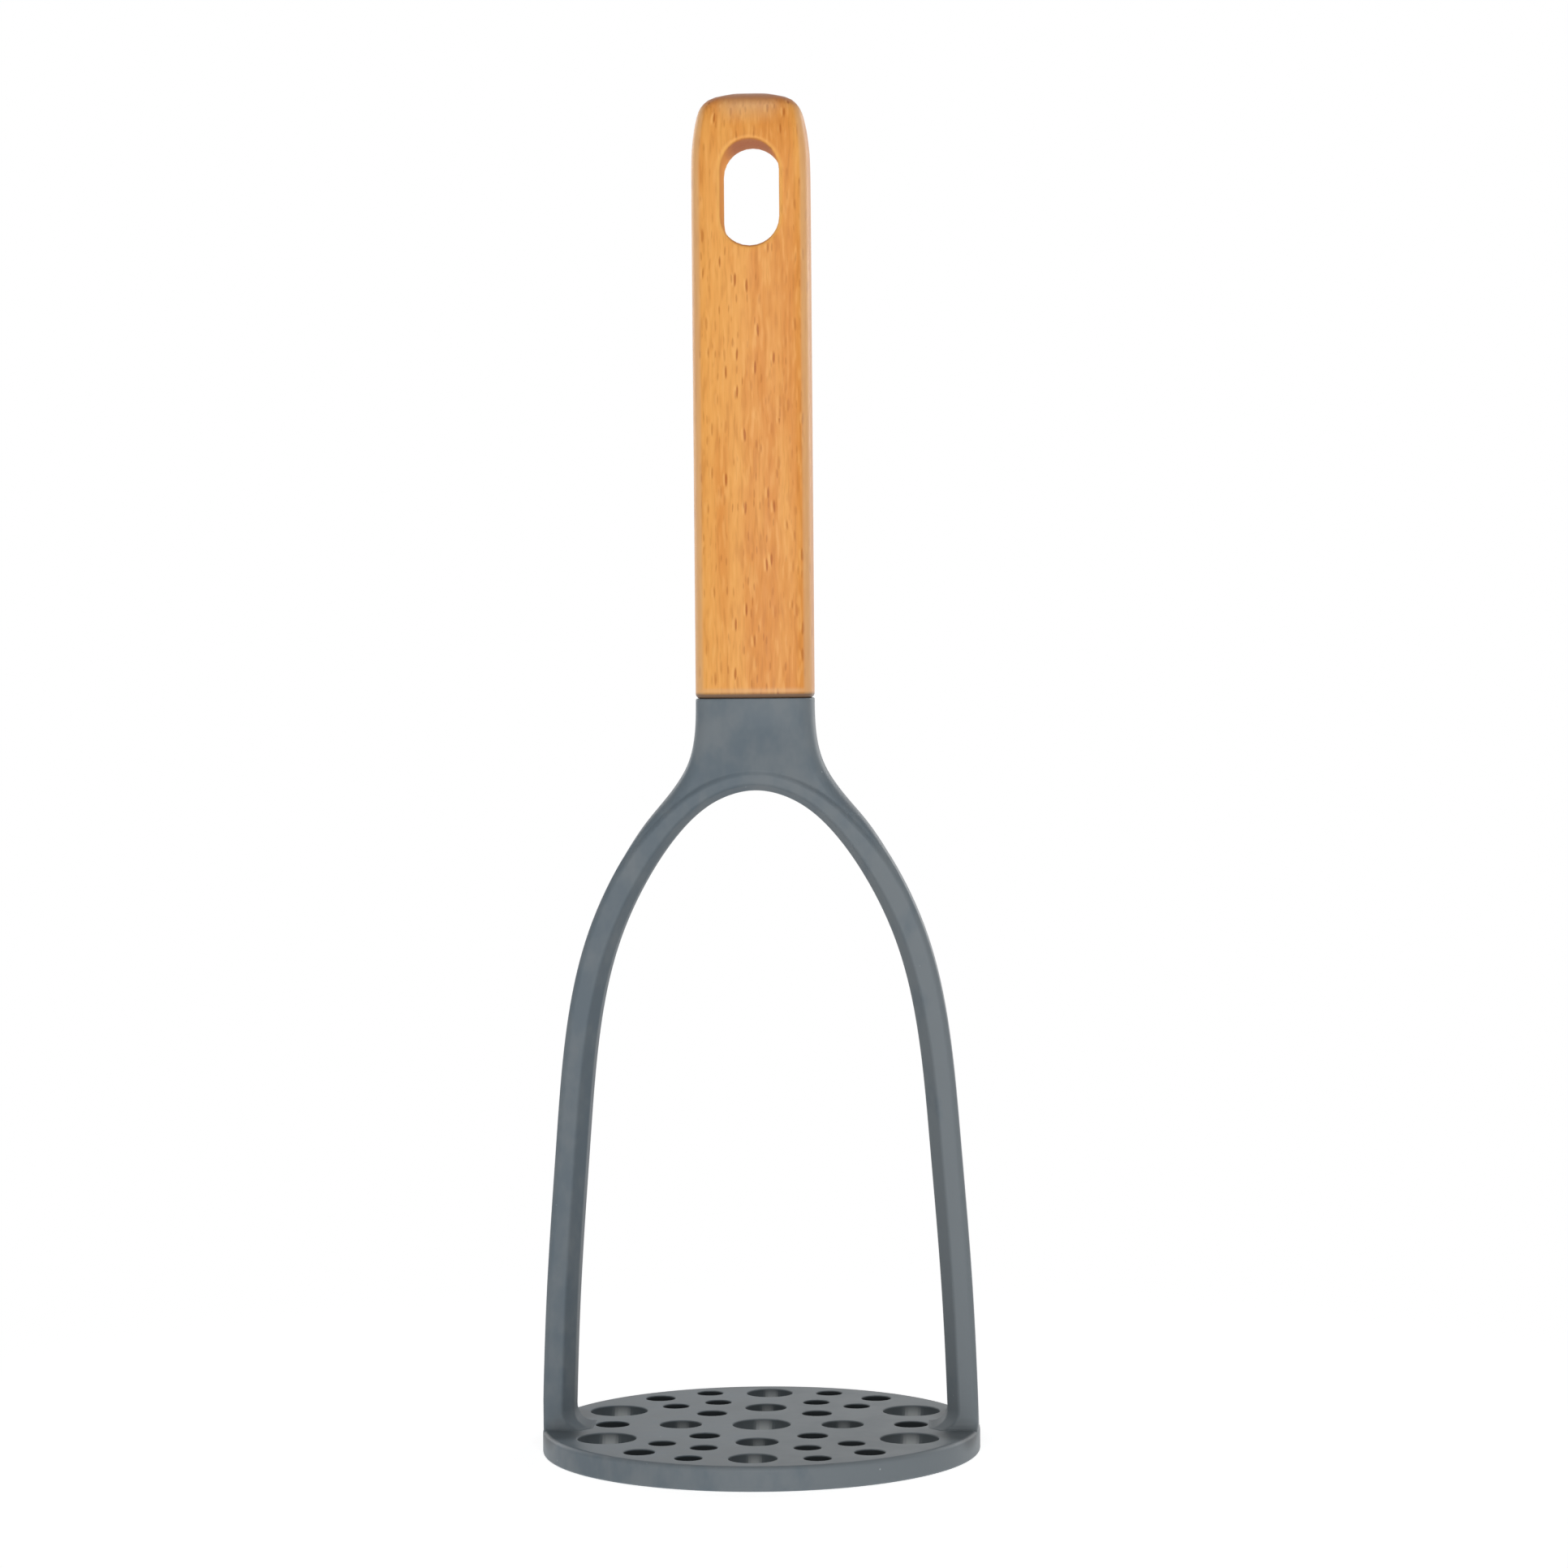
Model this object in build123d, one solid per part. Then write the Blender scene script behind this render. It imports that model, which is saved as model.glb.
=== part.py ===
from build123d import *
import math
import os

# Potato masher: a round perforated mashing plate under a tall two-legged frame, all one nylon
# moulding, bonded by its ribbed tang into the blind bore of a flat beech handle.
# The origin is the middle of the plate's underside. +Z runs up the handle, X across both legs.

# Mashing plate
plate_diameter = 90.0
plate_thickness = 5.0
plate_top_rounding = 1.0
plate_bottom_rounding = 0.5

# Holes through the plate
large_hole_diameter = 11.9
rim_hole_diameter = 9.7
medium_hole_diameter = 8.6
side_hole_diameter = 6.9
small_hole_diameter = 6.2
least_hole_diameter = 5.5
hole_edge_rounding = 0.3

# Legs and arch, one bar bent into a tall arch
leg_width = 6.35
leg_depth = 12.5
leg_outer_rounding = 0.5
leg_chamfer_width = 2.3
leg_chamfer_depth = 2.6
leg_inner_rounding = 0.4
foot_inner_flare = 4.0
foot_face_flare = 1.2
foot_set_in = 0.15
foot_section_count = 10

# Collar and the web that fans out from it to the arch
frame_height = 154.6
collar_height = 18.85
web_depth = 10.8
web_set_in = 0.3
collar_edge_rounding = 0.3

# Bead along the arch's inner edge, standing proud of the web: its width is the crown's
bead_width = 3.3
bead_height = 0.95

# Handle, whose cross-section the collar continues
handle_length = 122.9
handle_width = 24.15
handle_depth = 18.0
face_bulge = 1.2
side_bulge = 0.3
corner_rounding = 3.4
crown_length = 16.0
handle_end_rounding = 0.8

# Hang slot through the handle
slot_width = 12.0
slot_length = 21.4
slot_below_top = 9.85
slot_edge_rounding = 1.0

# Ribbed tang inside the handle
tang_diameter = 11.0
tang_length = 38.0
tang_root = 5.0
tang_rib_thickness = 3.0
tang_ring_count = 3
tang_ring_thickness = 1.4
tang_tip_chamfer = 1.2
bond_gap = 0.2
bond_cap = 0.8
bore_end_space = 1.2
drill_tip_share = 0.6

# Pockets that keep the collar's wall even, hidden under the handle's end
pocket_depth = 11.0
pocket_wall = 2.6
pocket_tang_gap = 1.2
pocket_rounding = 0.8

# One length by which cuts run past what they cut
overrun = 2.0

upward = (Align.CENTER, Align.CENTER, Align.MIN)
plate_radius = plate_diameter / 2
arch_crown_height = frame_height - collar_height
foot_centre = plate_radius - foot_set_in - leg_width / 2
handle_top = frame_height + handle_length
bore_radius = tang_diameter / 2 + bond_gap

# Centre line of the bar: half span as a share of the foot's, height as a share of the crown's
arch_shares = [
    (1.0, 0.0),
    (0.972, 0.218),
    (0.918, 0.445),
    (0.872, 0.595),
    (0.762, 0.751),
    (0.593, 0.862),
    (0.448, 0.925),
    (0.291, 0.970),
    (0.0, 1.0),
]

# Which point of the centre line the web runs out at
web_end_point = 5

# How far the bead has widened to the whole bar at the last points of the centre line, up to the crown
bead_widening_shares = [1.1, 0.75, 0.36, 0.12, 0.0]

# Side outline of collar and web, from the collar's side at the seam to the web's end on the bar:
# drop and spread as shares of the whole way
collar_shares = [
    (0.000, 0.000),
    (0.160, 0.008),
    (0.282, 0.038),
    (0.360, 0.079),
    (0.442, 0.151),
    (0.522, 0.255),
    (0.603, 0.384),
    (0.763, 0.667),
    (1.000, 1.000),
]
collar_section_count = 16

# Where below the seam the collar thins to the web, as shares of the collar's height
thinning_start_share = 0.44
thinning_end_share = 0.76
web_bulge_share = 0.3

# Top of the handle: drop as a share of the crown's length, narrowing as a share of half the width
crown_shares = [
    (2.40, 0.000),
    (1.90, 0.000),
    (1.40, 0.000),
    (1.00, 0.002),
    (0.78, 0.010),
    (0.54, 0.040),
    (0.36, 0.083),
    (0.23, 0.132),
    (0.11, 0.246),
    (0.045, 0.402),
    (0.00, 0.640),
]

# Holes: place as shares of the plate's radius, mirrored into all four quarters, and diameter
hole_layout_shares = [
    (0.0, 0.0, large_hole_diameter),
    (0.682, 0.340, large_hole_diameter),
    (0.0, 0.804, rim_hole_diameter),
    (0.371, 0.0, medium_hole_diameter),
    (0.0, 0.424, medium_hole_diameter),
    (0.684, 0.0, side_hole_diameter),
    (0.511, 0.664, small_hole_diameter),
    (0.244, 0.276, small_hole_diameter),
    (0.284, 0.800, least_hole_diameter),
    (0.231, 0.558, least_hole_diameter),
    (0.424, 0.458, least_hole_diameter),
]


def pillow_section(half_width, half_depth, rounding, bulge_share=1.0):
    """Rounded rectangle with gently bulged faces, the cross-section of handle and collar."""
    corner_x = half_width - side_bulge * bulge_share
    corner_y = half_depth - face_bulge * bulge_share
    outline = (
        ThreePointArc((-corner_x, -corner_y), (0, -half_depth), (corner_x, -corner_y))
        + ThreePointArc((corner_x, -corner_y), (half_width, 0), (corner_x, corner_y))
        + ThreePointArc((corner_x, corner_y), (0, half_depth), (-corner_x, corner_y))
        + ThreePointArc((-corner_x, corner_y), (-half_width, 0), (-corner_x, -corner_y))
    )
    face = make_face(outline)
    return fillet(face.vertices(), rounding)


def mashing_plate():
    """Round plate with rounded rim and its pattern of holes."""
    plate = Cylinder(plate_radius, plate_thickness, align=upward)
    plate = fillet(plate.edges().sort_by(Axis.Z)[-1], plate_top_rounding)
    plate = fillet(plate.edges().sort_by(Axis.Z)[0], plate_bottom_rounding)
    return plate - plate_holes()


def plate_holes():
    """Cutters for every hole, each flared at both faces to round its edges."""
    cutters = []
    for x_share, y_share, diameter in hole_layout_shares:
        x_places = {x_share * plate_radius, -x_share * plate_radius}
        y_places = {y_share * plate_radius, -y_share * plate_radius}
        cutters += [Pos(x, y, 0) * hole_cutter(diameter / 2) for x in x_places for y in y_places]
    return cutters


def hole_cutter(radius):
    """Body of revolution that cuts one hole with rounded edges at both faces."""
    wide = radius + hole_edge_rounding
    low_end = hole_edge_rounding
    high_end = plate_thickness - hole_edge_rounding
    bow = hole_edge_rounding * (1 - math.sqrt(0.5))
    profile = (
        Line((0, -overrun), (wide, -overrun))
        + Line((wide, -overrun), (wide, 0))
        + ThreePointArc((wide, 0), (radius + bow, bow), (radius, low_end))
        + Line((radius, low_end), (radius, high_end))
        + ThreePointArc((radius, high_end), (radius + bow, plate_thickness - bow), (wide, plate_thickness))
        + Line((wide, plate_thickness), (wide, plate_thickness + overrun))
        + Line((wide, plate_thickness + overrun), (0, plate_thickness + overrun))
        + Line((0, plate_thickness + overrun), (0, -overrun))
    )
    return revolve(Plane.XZ * make_face(profile), Axis.Z)


def arch_points():
    """Points of the bar's centre line from the right foot up to the crown."""
    root = plate_thickness / 2
    rise = arch_crown_height + leg_width / 2 - root
    return [(foot_centre * x, root + rise * z) for x, z in arch_shares]


def arch_line():
    """Centre line of the bar from the left foot over the crown to the right foot."""
    right = arch_points()
    left = [(-x, z) for x, z in right[:-1]]
    return Spline(*left, *reversed(right))


def bar_section(inner_flare=0, face_flare=0):
    """Cross-section of the bar: square outer corners, and long chamfers on its inner, +X side."""
    outer = -leg_width / 2
    inner = leg_width / 2 + inner_flare
    front = leg_depth / 2 + face_flare
    side_end = front - leg_chamfer_depth
    facet_end = inner - leg_chamfer_width
    right = [(outer, -front), (facet_end, -front), (inner, -side_end)]
    left = [(inner, side_end), (facet_end, front), (outer, front)]
    section = make_face(Polyline(*right, *left, close=True))
    section = fillet(section.vertices().group_by(Axis.X)[0], leg_outer_rounding)
    inner_corners = section.vertices().filter_by(lambda v: v.X > facet_end - leg_inner_rounding)
    return fillet(inner_corners, leg_inner_rounding)


def arch_bar():
    """Two legs and the arch between them, one bar swept along the arch line, with the bead's step."""
    path = Plane.XZ * arch_line()
    start = Plane(origin=path @ 0, x_dir=(1, 0, 0), z_dir=path % 0)
    step = web_step()
    return sweep(start * bar_section(), path=path) - step - mirror(step, about=Plane.XZ)


def crease_points(spread):
    """Points beside the bead's edge, at a distance outside it, from the right shoulder to the crown."""
    line = arch_line()
    last_points = arch_points()[-len(bead_widening_shares):]
    points = []
    for (x, z), widening in zip(last_points, bead_widening_shares):
        down = line.tangent_at(line.param_at_point(Vector(x, z)))
        width = bead_width + (leg_width - bead_width) * widening
        outward = Vector(-down.Y, down.X) * (width - leg_width / 2 + spread)
        points.append((x + outward.X, z + outward.Y))
    return points


def web_step():
    """Cutter that lowers the bar's front face outside the bead, with a wall sloped at 45 degrees."""
    floor = Plane.XZ.offset(leg_depth / 2 - bead_height) * beyond_bead(bead_height)
    mouth = Plane.XZ.offset(leg_depth / 2 + overrun) * beyond_bead(-overrun)
    return loft([floor, mouth], ruled=True)


def beyond_bead(spread):
    """Area outside a line beside the bead's edge, as wide as the plate and up to the seam."""
    right = crease_points(spread)
    left = [(-x, z) for x, z in right[:-1]]
    low = right[0][1]
    around = Polyline(
        right[0],
        (plate_radius, low),
        (plate_radius, frame_height),
        (-plate_radius, frame_height),
        (-plate_radius, low),
        left[0],
    )
    return make_face(Spline(*left, *reversed(right)) + around)


def foot(side):
    """Flare that widens a leg towards the plate, most of all inwards, trimmed flush with the rim."""
    line = arch_line()
    sections = []
    for step in range(foot_section_count + 1):
        turn = math.pi / 2 * step / foot_section_count
        rise = foot_inner_flare * (1 - math.cos(turn))
        inner_flare = foot_inner_flare * (1 - math.sin(turn))
        below_face = max(0, foot_face_flare - rise)
        face_flare = foot_face_flare - math.sqrt(foot_face_flare**2 - below_face**2)
        centre = bar_centre_at(line, plate_thickness + rise)
        place = Pos(-centre, 0, plate_thickness + rise)
        sections.append(place * bar_section(inner_flare, face_flare))
    ground = sections[0]
    flare = loft(sections, ruled=True) + extrude(ground, amount=-plate_thickness / 2)
    rim = Cylinder(plate_radius - foot_set_in, frame_height, align=upward)
    return (flare if side < 0 else mirror(flare, about=Plane.YZ)) & rim


def bar_centre_at(line, height):
    """Distance of the bar's centre line from the middle at a height near the foot."""
    low = line @ 1
    slope = line % 1
    return low.X + (height - low.Y) * slope.X / slope.Y


def thinning(height):
    """How far the collar has thinned to the web at a height, from 0 to 1, with a smooth start and end."""
    below_seam = (frame_height - height) / collar_height
    share = (below_seam - thinning_start_share) / (thinning_end_share - thinning_start_share)
    share = min(1, max(0, share))
    return share * share * (3 - 2 * share)


def collar_outline():
    """Side outline of collar and web, ending on the outer edge of the bar and in line with it."""
    line = arch_line()
    centre = Vector(*arch_points()[web_end_point])
    down = line.tangent_at(line.param_at_point(centre))
    end = centre + Vector(-down.Y, down.X) * (leg_width / 2 - web_set_in)
    top = Vector(handle_width / 2, frame_height)
    way = end - top
    points = [(top.X + way.X * spread, top.Y + way.Y * drop) for drop, spread in collar_shares]
    return Spline(*points, tangents=[(0, -1), (down.X, down.Y)])


def collar_and_web():
    """Collar under the handle, fanning out into the web that fills the angle above the arch."""
    outline = collar_outline()
    soft_rounding = min(corner_rounding, web_depth / 2 - face_bulge * web_bulge_share - web_set_in)
    sections = []
    for step in range(collar_section_count + 1):
        place = outline @ (step / collar_section_count)
        thin = thinning(place.Y)
        half_depth = handle_depth / 2 - (handle_depth - web_depth) / 2 * thin
        bulge_share = 1 - (1 - web_bulge_share) * thin
        rounding = corner_rounding + (soft_rounding - corner_rounding) * thin
        section = pillow_section(place.X, half_depth, rounding, bulge_share)
        sections.append(Pos(0, 0, place.Y) * section)
    body = loft(sections)
    top_edges = body.faces().sort_by(Axis.Z)[-1].edges()
    body = fillet(top_edges, collar_edge_rounding)
    line = arch_line()
    below = make_face(line + Line(line @ 1, line @ 0))
    return body - extrude(Plane.XZ * below, amount=handle_depth, both=True)


def tang():
    """Cross-ribbed tang with spacing rings, standing on the collar's seam face."""
    base = frame_height - tang_root
    length = tang_root + tang_length
    body = Pos(0, 0, base) * Cylinder(tang_diameter / 2, length, align=upward)
    tip = body.edges().filter_by(GeomType.CIRCLE).sort_by(Axis.Z)[-1]
    body = chamfer(tip, tang_tip_chamfer)
    rib = Pos(0, 0, base) * Box(tang_diameter, tang_rib_thickness, length, align=upward)
    ribs = rib + Rot(0, 0, 90) * rib
    spacing = tang_length / (tang_ring_count + 1)
    for ring in range(tang_ring_count):
        height = frame_height + spacing * (ring + 1) - tang_ring_thickness / 2
        ribs += Pos(0, 0, height) * Cylinder(tang_diameter / 2, tang_ring_thickness, align=upward)
    return body & ribs


def collar_pockets():
    """Cutters for the two pockets beside the tang."""
    reach = handle_width / 2 - pocket_wall - tang_diameter / 2 - pocket_tang_gap
    length = handle_depth - 2 * (pocket_wall + face_bulge)
    place = tang_diameter / 2 + pocket_tang_gap + reach / 2
    outline = RectangleRounded(reach, length, min(pocket_rounding, reach / 3))
    pocket = Pos(0, 0, frame_height - pocket_depth) * extrude(outline, amount=pocket_depth + overrun)
    return [Pos(side * place, 0, 0) * pocket for side in (-1, 1)]


def masher_head():
    """The whole nylon moulding: plate, feet, legs, arch, web, collar and tang."""
    frame = mashing_plate() + arch_bar() + foot(-1) + foot(1) + collar_and_web()
    return frame - collar_pockets() + tang()


def handle():
    """Flat beech handle with a crowned top, a hang slot and the blind bore for the tang."""
    full = pillow_section(handle_width / 2, handle_depth / 2, corner_rounding)
    shank_length = handle_length - crown_length * crown_shares[0][0]
    shank = Pos(0, 0, frame_height) * extrude(full, amount=shank_length)
    sections = []
    for drop, narrowing in crown_shares:
        inset = narrowing * handle_width / 2
        section = pillow_section(
            handle_width / 2 - inset,
            handle_depth / 2 - inset * handle_depth / handle_width,
            corner_rounding * (1 - narrowing / 2),
            1 - narrowing,
        )
        sections.append(Pos(0, 0, handle_top - crown_length * drop) * section)
    body = shank + loft(sections)
    end_edges = body.faces().sort_by(Axis.Z)[0].edges()
    body = fillet(end_edges, handle_end_rounding)
    slot_centre = handle_top - slot_below_top - slot_length / 2
    slot = Plane.XZ * Pos(0, slot_centre) * Rot(0, 0, 90) * SlotOverall(slot_length, slot_width)
    body -= extrude(slot, amount=handle_depth, both=True)
    mouths = body.edges().filter_by(on_slot_mouth)
    body = fillet(mouths, slot_edge_rounding)
    return body - tang_bore()


def on_slot_mouth(edge):
    """Whether an edge of the handle borders a mouth of the hang slot."""
    middle = edge.center()
    low = handle_top - slot_below_top - slot_length - slot_edge_rounding
    high = handle_top - slot_below_top + slot_edge_rounding
    beside = abs(middle.X) < slot_width / 2 + slot_edge_rounding
    return beside and low < middle.Z < high and abs(middle.Y) > handle_depth / 4


def tang_bore():
    """Cutter for the blind bore, with the cone that a drill leaves at its end."""
    depth = tang_length + bore_end_space
    shaft = Pos(0, 0, frame_height - overrun) * Cylinder(bore_radius, depth + overrun, align=upward)
    tip = Cone(bore_radius, 0, bore_radius * drill_tip_share, align=upward)
    return shaft + Pos(0, 0, frame_height + depth) * tip


def bond():
    """Cured adhesive that fills the bore around the ribbed tang."""
    fill = Pos(0, 0, frame_height) * Cylinder(bore_radius, tang_length + bond_cap, align=upward)
    return fill - tang()


if __name__ == "__main__":
    os.makedirs("parts", exist_ok=True)
    export_step(masher_head(), "parts/masher_head.step")
    export_step(handle(), "parts/beech_handle.step")
    export_step(bond(), "parts/tang_bond.step")
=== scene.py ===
"""Potato masher in its studio: the looks of a beech handle and a slate grey nylon head.

Everything is in metres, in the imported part's own frame: the origin is the middle of the mashing
plate's underside, +Z runs up the handle, X across both legs and Y through the hang slot.
"""

import logging
import math
from dataclasses import dataclass, field
from enum import Enum
from typing import Callable

import bmesh
import bpy
from mathutils import Euler, Matrix, Vector


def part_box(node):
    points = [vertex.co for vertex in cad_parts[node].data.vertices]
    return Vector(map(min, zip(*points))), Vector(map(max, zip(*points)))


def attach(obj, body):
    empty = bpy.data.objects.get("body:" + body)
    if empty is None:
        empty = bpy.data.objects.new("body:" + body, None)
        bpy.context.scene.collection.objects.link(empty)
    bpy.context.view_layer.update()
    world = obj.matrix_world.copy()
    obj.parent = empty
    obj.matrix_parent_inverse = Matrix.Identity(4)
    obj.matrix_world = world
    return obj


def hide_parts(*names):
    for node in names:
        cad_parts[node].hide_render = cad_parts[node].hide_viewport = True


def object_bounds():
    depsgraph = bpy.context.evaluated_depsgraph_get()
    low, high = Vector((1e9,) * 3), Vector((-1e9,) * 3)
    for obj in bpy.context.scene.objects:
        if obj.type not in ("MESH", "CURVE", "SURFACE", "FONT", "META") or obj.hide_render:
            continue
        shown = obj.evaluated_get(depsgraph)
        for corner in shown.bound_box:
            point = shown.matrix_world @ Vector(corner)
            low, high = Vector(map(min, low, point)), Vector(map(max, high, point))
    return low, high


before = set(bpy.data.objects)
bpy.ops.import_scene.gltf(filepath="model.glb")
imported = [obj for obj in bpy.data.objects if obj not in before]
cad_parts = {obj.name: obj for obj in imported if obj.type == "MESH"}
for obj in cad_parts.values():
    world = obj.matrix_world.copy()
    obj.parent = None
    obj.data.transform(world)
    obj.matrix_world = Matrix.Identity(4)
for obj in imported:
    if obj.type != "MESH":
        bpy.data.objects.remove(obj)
cad_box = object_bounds()

MM = 0.001
MERGE = 0.002 * MM
SEAM_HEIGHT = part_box("beech_handle")[0][2]
HALVINGS = 30
NOISE_RANGE = (0.3, 0.7)

Colour = tuple[float, float, float, float]
Sizes = tuple[float, float, float]
Range = tuple[float, float]
Table = list[Range]
Chain = list[Vector]
Shape = bmesh.types.BMesh
Edges = list[bmesh.types.BMEdge]
Socket = bpy.types.NodeSocket
Layers = list[tuple[Socket, Colour]]

log = logging.getLogger("masher")


class Slot(Enum):
    """The record's material slots."""

    BEECH = "beech"
    NYLON = "nylon"
    ADHESIVE = "adhesive"


def tint(red: float, green: float, blue: float) -> Colour:
    """Returns an opaque colour with the given linear red, green and blue."""
    return (red, green, blue, 1.0)


def smoothstep(low: float, high: float, value: float) -> float:
    """Eases from 0 at low to 1 at high."""
    share = min(1.0, max(0.0, (value - low) / (high - low)))
    return share * share * (3 - 2 * share)


def eased(table: Table, value: float) -> float:
    """Reads a table of pairs with smooth, never overshooting steps between them.

    Args:
        table: Pairs of place and value, with rising places.
        value: The place to read at.

    Returns:
        The value there.
    """
    if value <= table[0][0]:
        return table[0][1]
    if value >= table[-1][0]:
        return table[-1][1]
    slopes = [(b[1] - a[1]) / (b[0] - a[0]) for a, b in zip(table, table[1:])]
    bends = [slopes[0]]
    for before, after in zip(slopes, slopes[1:]):
        bends.append(0.0 if before * after <= 0 else 2 * before * after / (before + after))
    bends.append(slopes[-1])
    step = next(i for i in range(len(slopes)) if value <= table[i + 1][0])
    (x0, y0), (x1, y1) = table[step], table[step + 1]
    width = x1 - x0
    t = (value - x0) / width
    start = (1 + 2 * t) * (1 - t) ** 2 * y0 + t * (1 - t) ** 2 * width * bends[step]
    end = t * t * (3 - 2 * t) * y1 + t * t * (t - 1) * width * bends[step + 1]
    return start + end


class NodeSketch:
    """Small helper that lays out the nodes of a material or a world and links them."""

    MIDDLE: Sizes = (0.5, 0.5, 0.5)
    NEEDLE_EDGE: Range = (0.45, 1.0)
    NEEDLE_DEPTHS: Range = (0.35, 1.0)

    def __init__(self, owner: bpy.types.Material | bpy.types.World, output: str = "OutputMaterial") -> None:
        """Starts an empty node tree.

        Args:
            owner: The material or the world that the nodes belong to.
            output: The output node's type name without its ShaderNode start.
        """
        owner.use_nodes = True
        self.owner = owner
        self.tree = owner.node_tree
        self.tree.nodes.clear()
        self.output = self.add(output)

    def add(self, kind: str, **settings: object) -> bpy.types.Node:
        """Adds a node.

        Args:
            kind: The node's type name without its ShaderNode start.
            **settings: Properties of the node, such as its operation.

        Returns:
            The new node.
        """
        node = self.tree.nodes.new("ShaderNode" + kind)
        for key, value in settings.items():
            setattr(node, key, value)
        return node

    def feed(self, socket: Socket, value: object) -> None:
        """Links a socket if value is another socket, or else gives it a plain value.

        Args:
            socket: The input to feed.
            value: A socket, a number, a colour or a vector.
        """
        if isinstance(value, Socket):
            self.tree.links.new(value, socket)
        else:
            socket.default_value = value

    def fed(self, node: bpy.types.Node, *values: object) -> bpy.types.Node:
        """Feeds a node's first inputs in order.

        Args:
            node: The node.
            *values: Sockets or plain values.

        Returns:
            The same node.
        """
        for socket, value in zip(node.inputs, values):
            self.feed(socket, value)
        return node

    def math(self, operation: str, first: object, second: object = 0.0) -> Socket:
        """Returns the result of one arithmetic step, such as MULTIPLY."""
        return self.fed(self.add("Math", operation=operation), first, second).outputs[0]

    def vector(self, operation: str, first: object, second: object) -> Socket:
        """Returns the result of one step of vector arithmetic, such as SUBTRACT."""
        return self.fed(self.add("VectorMath", operation=operation), first, second).outputs["Vector"]

    def length(self, vector: Socket) -> Socket:
        """Returns a vector's length."""
        return self.fed(self.add("VectorMath", operation="LENGTH"), vector).outputs["Value"]

    def coordinate(self, axis: str) -> Socket:
        """Returns the object coordinate along X, Y or Z."""
        return self.fed(self.add("SeparateXYZ"), self.place()).outputs[axis]

    def place(self) -> Socket:
        """Returns the object coordinates."""
        return self.add("TexCoord").outputs["Object"]

    def wandering(self, spacing: Sizes, reach: float) -> Socket:
        """Object coordinates that sway sideways, so that a grain runs in gentle waves.

        Args:
            spacing: Width of one sway along X, Y and Z.
            reach: How far it sways.

        Returns:
            The swaying vector's socket.
        """
        sway = self.add("TexNoise")
        sway.inputs["Scale"].default_value = 1.0
        self.feed(sway.inputs["Vector"], self.stretched(spacing))
        around = self.vector("SUBTRACT", sway.outputs["Color"], self.MIDDLE)
        return self.vector("ADD", self.place(), self.vector("MULTIPLY", around, (reach, reach, 0.0)))

    def stretched(self, spacing: Sizes, shift: float = 0.0, place: Socket | None = None) -> Socket:
        """Coordinates, scaled so that a pattern repeats about once per spacing.

        Args:
            spacing: Width of one repeat along X, Y and Z, in metres.
            shift: Offset of the pattern, in repeats.
            place: The coordinates, or None for the object's own.

        Returns:
            The vector's socket.
        """
        mapping = self.add("Mapping", vector_type="POINT")
        mapping.inputs["Scale"].default_value = tuple(1 / width for width in spacing)
        mapping.inputs["Location"].default_value = (shift, shift, shift)
        self.feed(mapping.inputs["Vector"], self.place() if place is None else place)
        return mapping.outputs["Vector"]

    def noise(self, vector: Socket, detail: float = 2.0, roughness: float = 0.5) -> Socket:
        """A noise pattern.

        Args:
            vector: Where the pattern is read.
            detail: How many finer layers it has.
            roughness: How strong the finer layers are.

        Returns:
            The pattern's value, about 0.5 in the middle.
        """
        node = self.add("TexNoise")
        node.inputs["Scale"].default_value = 1.0
        node.inputs["Detail"].default_value = detail
        node.inputs["Roughness"].default_value = roughness
        self.feed(node.inputs["Vector"], vector)
        return node.outputs["Fac"]

    def spread(self, value: Socket, source: Range, target: Range = (0.0, 1.0)) -> Socket:
        """Returns a value, mapped smoothly from its source range onto a target range."""
        node = self.add("MapRange", interpolation_type="SMOOTHSTEP", clamp=True)
        return self.fed(node, value, *source, *target).outputs["Result"]

    def blend(self, share: object, first: object, second: object) -> Socket:
        """Mixes two colours.

        Args:
            share: How much of the second colour shows.
            first: The first colour or its socket.
            second: The second colour or its socket.

        Returns:
            The mixed colour's socket.
        """
        node = self.add("Mix", data_type="RGBA", blend_type="MIX")
        self.feed(node.inputs["Factor"], share)
        colours = [socket for socket in node.inputs if socket.type == "RGBA"]
        self.feed(colours[0], first)
        self.feed(colours[1], second)
        return next(socket for socket in node.outputs if socket.type == "RGBA")

    def layered(self, base: Colour, layers: Layers) -> Socket:
        """Lays colours over each other.

        Args:
            base: The lowest colour.
            layers: Pairs of how much of a colour shows and the colour, from the lowest up.

        Returns:
            The mixed colour's socket.
        """
        colour = base
        for share, upper in layers:
            colour = self.blend(share, colour, upper)
        return colour

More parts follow.
